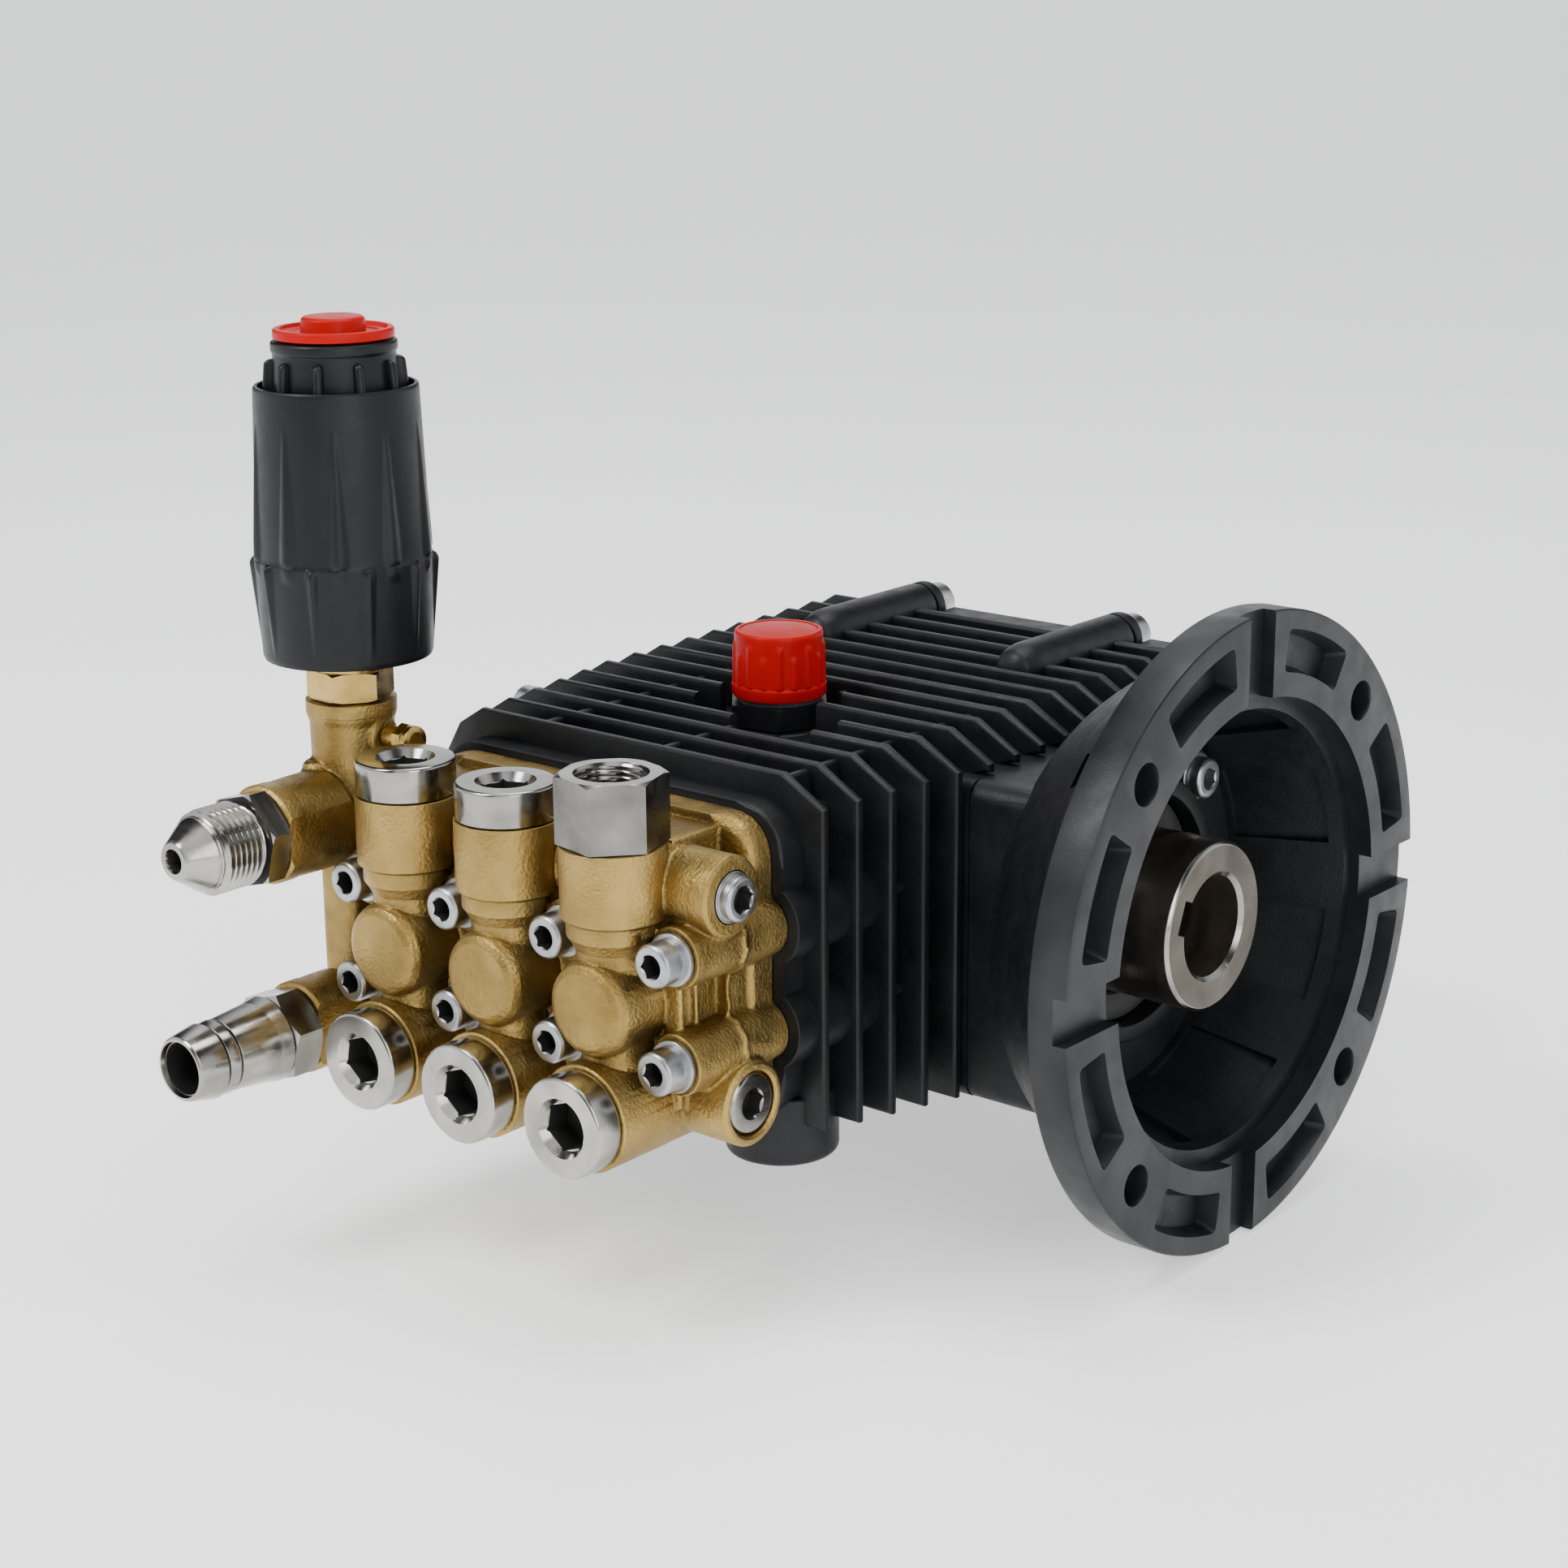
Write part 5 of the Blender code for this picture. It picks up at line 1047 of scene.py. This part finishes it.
def bypass_screw():
    """The small screw on the motor's side of the unloader's tower."""
    place = (KNOB_X, KNOB_Y + 1, SCREW_Z)
    profile = [(0, 20.4), (2.2, 20.4), (3.6, 20.0), (3.6, 18.4), (2.6, 17.8), (2.6, 11.1), (0, 11.1)]
    screw = lathe(profile, place, OUT, 40, 0.2)
    fuse(screw, hex_bar(6.6, 15.5, 18.2, place, OUT, 0, 0.4))
    show(screw, "bypass_screw_turned", BAR_BRASS, ["bypass_screw"])


def outlet_nipple():
    """The high-pressure outlet: a hexagon, a thread, and a cone with a small bore."""
    place = (KNOB_X, 0, OUTLET_Z)
    tip = [(0, 164.2), (4.2, 164.2), (4.8, 163.4), (8.4, 158.0), (8.6, 157.2)]
    stem = [(8.6, 139.2), (6.9, 139.2), (6.9, 130), (0, 130)]
    nipple = lathe(tip + stem, place, FRONT, 96, 0.2)
    screw = thread(10.0, 8.6, 1.55, 144.4, 157.4, place, FRONT, 96)
    fuse(nipple, screw, hex_bar(20.4, 139.1, 144.6, place, FRONT, 15, 0.8))
    mouth = lathe([(0, 166), (3.6, 166), (2.6, 163.4), (0, 163.4)], place, FRONT, 48, 0)
    cut(nipple, rod(2.6, 120, 170, place, FRONT), mouth)
    show(nipple, "outlet_nipple_turned", BRIGHT_Y, ["outlet_nipple"], angle=25)
    # painted shade inside the bore
    darken(nipple, place, FRONT, 2.9, 120, 163.2)


def inlet_barb():
    """The low-pressure inlet: a hexagon, and a barb in three steps for a hose."""
    place = (INLET_X, 0, SUCTION_Z)
    first = [(0, 167.8), (7.1, 167.8), (7.6, 167.3), (8.9, 160.8), (7.5, 160.5), (7.5, 160.0), (8.3, 159.8)]
    second = [(8.8, 157.3), (7.8, 157.0), (7.8, 156.5), (8.5, 156.3)]
    third = [(9.5, 146.0), (10.2, 142.6), (8.4, 141.0), (8.4, 133.8), (7.2, 133.8), (7.2, 126), (0, 126)]
    barb = lathe(first + second + third, place, FRONT, 96, 0.12)
    fuse(barb, hex_bar(19.4, 134.0, 142.0, place, FRONT, 15, 1.3))
    mouth = lathe([(0, 170), (7.3, 170), (6.3, 166.6), (0, 166.6)], place, FRONT, 64, 0)
    cut(barb, rod(6.2, 120, 170, place, FRONT, 64), mouth)
    show(barb, "inlet_barb_turned", BRIGHT_Y, ["inlet_barb"], angle=25)
    # painted shade inside the bore
    darken(barb, place, FRONT, 6.4, 120, 166.0)


def bump(value, width):
    """A smooth ridge: 1 in the middle, and 0 from width outwards."""
    near = min(1.0, abs(value) / width)
    return (1 - near * near) ** 2


def spoke(angle, count, shift=0.0):
    """How far an angle is from the nearest of count spokes, in radians."""
    step = 2 * math.pi / count
    return (angle + shift * step + step / 2) % step - step / 2


SLEEVE_RIBS = 10
SLEEVE_TURN = math.radians(-9)
CORE_TURN = math.radians(15)


def sleeve_ripple(r, h, angle):
    """Ribs that rise to a point and grow down the sleeve, and round-topped nubs between them on the skirt."""
    angle -= SLEEVE_TURN
    if r < 16:
        return r
    if h > 84.6:
        rise = clamp((115.5 - h) / 27)
        width = 0.7 + 2.0 * rise
        return r + 0.95 * rise ** 0.6 * bump(spoke(angle, SLEEVE_RIBS) * r, width)
    low = clamp((h - 62.5) / 20)
    main = bump(spoke(angle, SLEEVE_RIBS) * r, 2.4) * clamp((h - 80.5) / 2.0)
    top = math.sqrt(clamp((84.4 - h) / 1.6))
    nub = bump(spoke(angle, SLEEVE_RIBS, 0.5) * r, 1.0 + 0.8 * low) * low * top
    return max(r, min(21.65, r + 0.5 * main + 1.3 * nub))


def knob_sleeve():
    """The knob's outer grip: a flared sleeve over a skirt."""
    at = (KNOB_X, KNOB_Y, 0)
    side = [(18.7, 123.0)]
    side += [(18.75 + 1.35 * (122.5 - h) / 38, h) for h in [122.5 - 0.55 * i for i in range(69)]]
    side += [(20.15, 84.4), (20.35, 84.1)]
    side += [(20.35 - 0.75 * (83.8 - h) / 22, h) for h in [83.8 - 0.55 * i for i in range(41)]]
    inside = [(19.3, 60.9), (17.4, 60.9), (17.2, 66), (14.8, 66.5), (14.8, 115.8), (17.5, 116.6)]
    profile = [(17.7, 123.4), (18.4, 123.4)] + side + inside
    sleeve = lathe(profile, at, UP, 360, 0, sleeve_ripple)
    show(sleeve, "knob_sleeve_moulded", BLACK_PLASTIC, ["knob_sleeve"], "knob", 45)


def knob_core():
    """The knob's inner part, whose ribbed top stands above the sleeve."""
    at = (KNOB_X, KNOB_Y, 0)
    outside = [(0, 133.4), (13.9, 133.4), (14.3, 132.9), (14.3, 131.2), (13.9, 130.6), (14.4, 120)]
    inside = [(14.4, 66), (9.1, 66), (9.1, 82), (9.9, 84), (9.9, 122.4), (0, 122.4)]
    body = lathe(outside + inside, at, UP, 120, 0.3)
    ribs = []
    for i in range(SLEEVE_RIBS):
        rib = block((12.5, -1.1, 117), (16.9, 1.1, 129.4), 1.05, None, 4)
        for vert in rib.data.vertices:
            lean = max(0.0, (vert.co.z / MM - 124.5) / 4.9)
            vert.co.x -= 1.6 * lean * lean * MM
        rib.data.transform(Matrix.Rotation(2 * math.pi * i / SLEEVE_RIBS + CORE_TURN, 4, "Z"))
        rib.data.transform(Matrix.Translation(Vector(at) * MM))
        ribs.append(rib)
    fuse(body, *ribs)
    show(body, "knob_core_moulded", BLACK_PLASTIC, ["knob_core"], "knob")


def knob_cap():
    """The red disc on the knob, with a button in the middle."""
    button = [(0, 138.6), (6.5, 138.6), (7.2, 138.0), (7.3, 135.0)]
    dish = [(9.6, 134.9), (10.2, 135.3), (11.8, 135.3), (12.2, 136.1), (13.4, 136.1)]
    rim = [(13.7, 135.6), (13.7, 133.9), (0, 133.9)]
    disc = lathe(button + dish + rim, (KNOB_X, KNOB_Y, 0), UP, 96, 0.3)
    show(disc, "knob_cap_moulded", RED_PLASTIC, ["knob_cap"], "knob")


# ---------------------------------------------------------------- oil filler and shaft


CAP_RIBS = 9


def cap_ripple(r, h, angle):
    """Grip ribs round the cap, by turns long and short, rounded off at their tops."""
    if h < 47.6 or r < 10.5:
        return r
    turned = angle - math.radians(AZIMUTH - 90)
    long = bump(spoke(turned, CAP_RIBS) * r, 1.25) * math.sqrt(clamp((58.0 - h) / 1.2))
    short = bump(spoke(turned, CAP_RIBS, 0.5) * r, 1.05) * math.sqrt(clamp((55.5 - h) / 1.2))
    return r + 0.5 * max(long, short)


def oil_neck():
    """The black hexagon that the oil cap screws into."""
    at = (MID_X, FILLER_Y, 0)
    neck = hex_bar(22.6, 37.9, 43.2, at, UP, 10, 0.5)
    fuse(neck, rod(6.9, 30, 39, at, UP))
    cut(neck, rod(5.3, 20, 50, at, UP))
    show(neck, "oil_neck_moulded", BLACK_PLASTIC, ["oil_neck"])


def oil_cap():
    """The red cap: a crowned top with a rim, ribs round its side, a bead below, and a plug inside."""
    at = (MID_X, FILLER_Y, 0)
    top = [(0, 60.9), (3, 60.85), (6, 60.65), (8, 60.4), (9.4, 60.15)]
    top += [(9.5, 60.4), (10.2, 60.4), (10.5, 60.2), (10.65, 59.7)]
    side = [(10.7 + 0.006 * i, 59.3 - 0.3 * i) for i in range(40)]
    bead = [(11.0, 47.5), (11.4, 47.2), (11.45, 45.0), (11.1, 44.5)]
    inside = [(4.9, 44.5), (4.9, 36), (1.6, 35.5), (1.6, 31), (0, 31)]
    cap = lathe(top + side + bead + inside, at, UP, 240, 0, cap_ripple)
    show(cap, "oil_cap_moulded", RED_PLASTIC, ["oil_cap"], "filler_cap", 40)


THROW = 5
KEYWAY_TURN = -22


def shaft():
    """The crankshaft: hollow end with a keyway, journals, and three round throws."""
    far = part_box("crankshaft")[0][0] / MM
    near_end = [(0, -10), (19.2, -10), (20.0, -10.8), (20.0, -72.6)]
    far_end = [(16.8, -72.6), (16.8, -160.6), (20.0, -160.6), (20.0, far), (0, far)]
    body = lathe(near_end + far_end, axis=OUT, sides=120, soft=0.25)
    for n in NUMBERS:
        angle = math.radians(120 * (n - 1))
        place = (CYLINDER_X[n], THROW * math.cos(angle), THROW * math.sin(angle))
        fuse(body, rod(22, -7.5, 7.5, place, OUT, 96, 0.5))
    bore = [(0, 0), (14.2, 0), (13.0, -10.0), (12.0, -11.0), (12.0, -72), (0, -72)]
    cut(body, lathe(bore, axis=OUT, sides=96, soft=0))
    key = block((-72, -15.3, -4), (0, 0, 4))
    cut(body, turned_about_x(key, KEYWAY_TURN))
    show(body, "crankshaft_turned", SHAFT_STEEL, ["crankshaft"], "crank", 25)
    # painted shade at the bottom of the hollow end
    darken(body, (0, 0, 0), OUT, 11.6, -73, -60)
    darken(body, (0, 0, 0), OUT, 19.3, -10.05, -9.9, SHAFT_FACE)
    body.data.materials.append(BRIGHT_Z)
    bright = len(body.data.materials) - 1
    for polygon in body.data.polygons:
        x, y, z = polygon.center / MM
        if x > -10.75 and 12.0 < math.hypot(y, z) and abs(polygon.normal.x) < 0.95:
            polygon.material_index = bright


def shaft_seal():
    seal = [(20.4, -37), (21.2, -34.6), (23.2, -34.2), (27.4, -34.2), (27.4, -42), (22, -42), (20.4, -38)]
    show(lathe(seal, axis=OUT, soft=0.3), "shaft_seal_moulded", RUBBER, ["shaft_seal"])


# ---------------------------------------------------------------- studio


FLOOR_HALF = 60000
FLOOR_GAP_M = 0.0005


def area_light(name, place, size, power):
    """A soft light aimed at the pump. Its place and size are in metres, and its power in watts."""
    data = bpy.data.lights.new(name, "AREA")
    data.shape = "RECTANGLE"
    data.size, data.size_y = size
    data.energy = power
    lamp = bpy.data.objects.new(name, data)
    lamp.location = place
    aim = Vector(LOOK_AT) * MM - Vector(place)
    lamp.rotation_euler = aim.to_track_quat("-Z", "Y").to_euler()
    bpy.context.scene.collection.objects.link(lamp)


def white_floor():
    bm = bmesh.new()
    bmesh.ops.create_grid(bm, x_segments=24, y_segments=24, size=FLOOR_HALF)
    floor = keep(bm, "floor")
    floor.location.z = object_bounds()[0][2] - FLOOR_GAP_M
    pale, paler = (0.92, 0.92, 0.92), (0.95, 0.95, 0.95)
    paper = finish_of("floor_paper", pale, paler, (0.7, 0.8), 0.0, 0.01, 400.0, 3.0)
    glow = paper.node_tree.nodes["Principled BSDF"]
    glow.inputs["Emission Color"].default_value = (1.0, 1.0, 1.0, 1.0)
    glow.inputs["Emission Strength"].default_value = 0.7
    floor.data.materials.append(paper)
    floor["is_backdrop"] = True


def surroundings():
    """A world of soft upright strips, bright and dark by turns, which the polished metal mirrors."""
    world = bpy.data.worlds.new("studio")
    world.use_nodes = True
    tree = world.node_tree
    coords = tree.nodes.new("ShaderNodeTexCoord")
    turned = tree.nodes.new("ShaderNodeMapping")
    turned.inputs["Rotation"].default_value[2] = math.radians(-AZIMUTH)
    strips = tree.nodes.new("ShaderNodeTexWave")
    strips.bands_direction = "X"
    strips.inputs["Scale"].default_value = 0.32
    strips.inputs["Phase Offset"].default_value = math.pi
    strips.inputs["Distortion"].default_value = 0.0
    tree.links.new(coords.outputs["Generated"], turned.inputs["Vector"])
    tree.links.new(turned.outputs["Vector"], strips.inputs["Vector"])
    stops = [(0.2, (0.03, 0.032, 0.035)), (0.7, (1.0, 1.02, 1.05))]
    colour = ramp_node(tree, strips.outputs["Fac"], stops)
    tree.links.new(colour, tree.nodes["Background"].inputs["Color"])
    tree.nodes["Background"].inputs["Strength"].default_value = 1.35
    bpy.context.scene.world = world


def studio():
    white_floor()
    surroundings()
    area_light("key", (-0.5, -0.9, 1.1), (0.5, 0.5), 15)
    area_light("fill", (1.0, -0.6, 0.5), (0.5, 0.9), 8)
    area_light("top", (-0.1, 0.2, 1.2), (0.9, 0.5), 9)


def camera():
    """The camera at its measured place. Azimuth is counted from the manifold's side towards the bell."""
    azimuth, elevation = math.radians(AZIMUTH), math.radians(ELEVATION)
    level = math.cos(elevation)
    back = Vector((math.sin(azimuth) * level, -math.cos(azimuth) * level, math.sin(elevation)))
    right = Vector(UP).cross(back).normalized()
    upright = Matrix((right, back.cross(right), back)).transposed().to_4x4()
    turn = upright @ Matrix.Rotation(math.radians(ROLL), 4, "Z")
    data = bpy.data.cameras.new("camera")
    data.lens = LENS
    data.clip_end = 50
    view = bpy.data.objects.new("camera", data)
    view.matrix_world = Matrix.Translation((Vector(LOOK_AT) + back * DISTANCE) * MM) @ turn
    bpy.context.scene.collection.objects.link(view)
    bpy.context.scene.camera = view


def carry_nodes():
    """Gives each CAD node that still shows the finish of its slot."""
    slots = {entry["node"]: entry["material_slot"] for entry in frame["record"]["subparts"]}
    for name, obj in frame["nodes"].items():
        finish = CARRIED[slots[name]]
        obj.data.materials.clear()
        obj.data.materials.append(finish)


camera()
carry_nodes()
bell()
crankcase()
rear_cover()
side_cover()
manifold()
caps_and_plugs()
gauge_fitting()
head_bolts()
unloader()
unloader_nut()
bypass_screw()
outlet_nipple()
inlet_barb()
knob_sleeve()
knob_core()
knob_cap()
oil_neck()
oil_cap()
shaft()
shaft_seal()
studio()
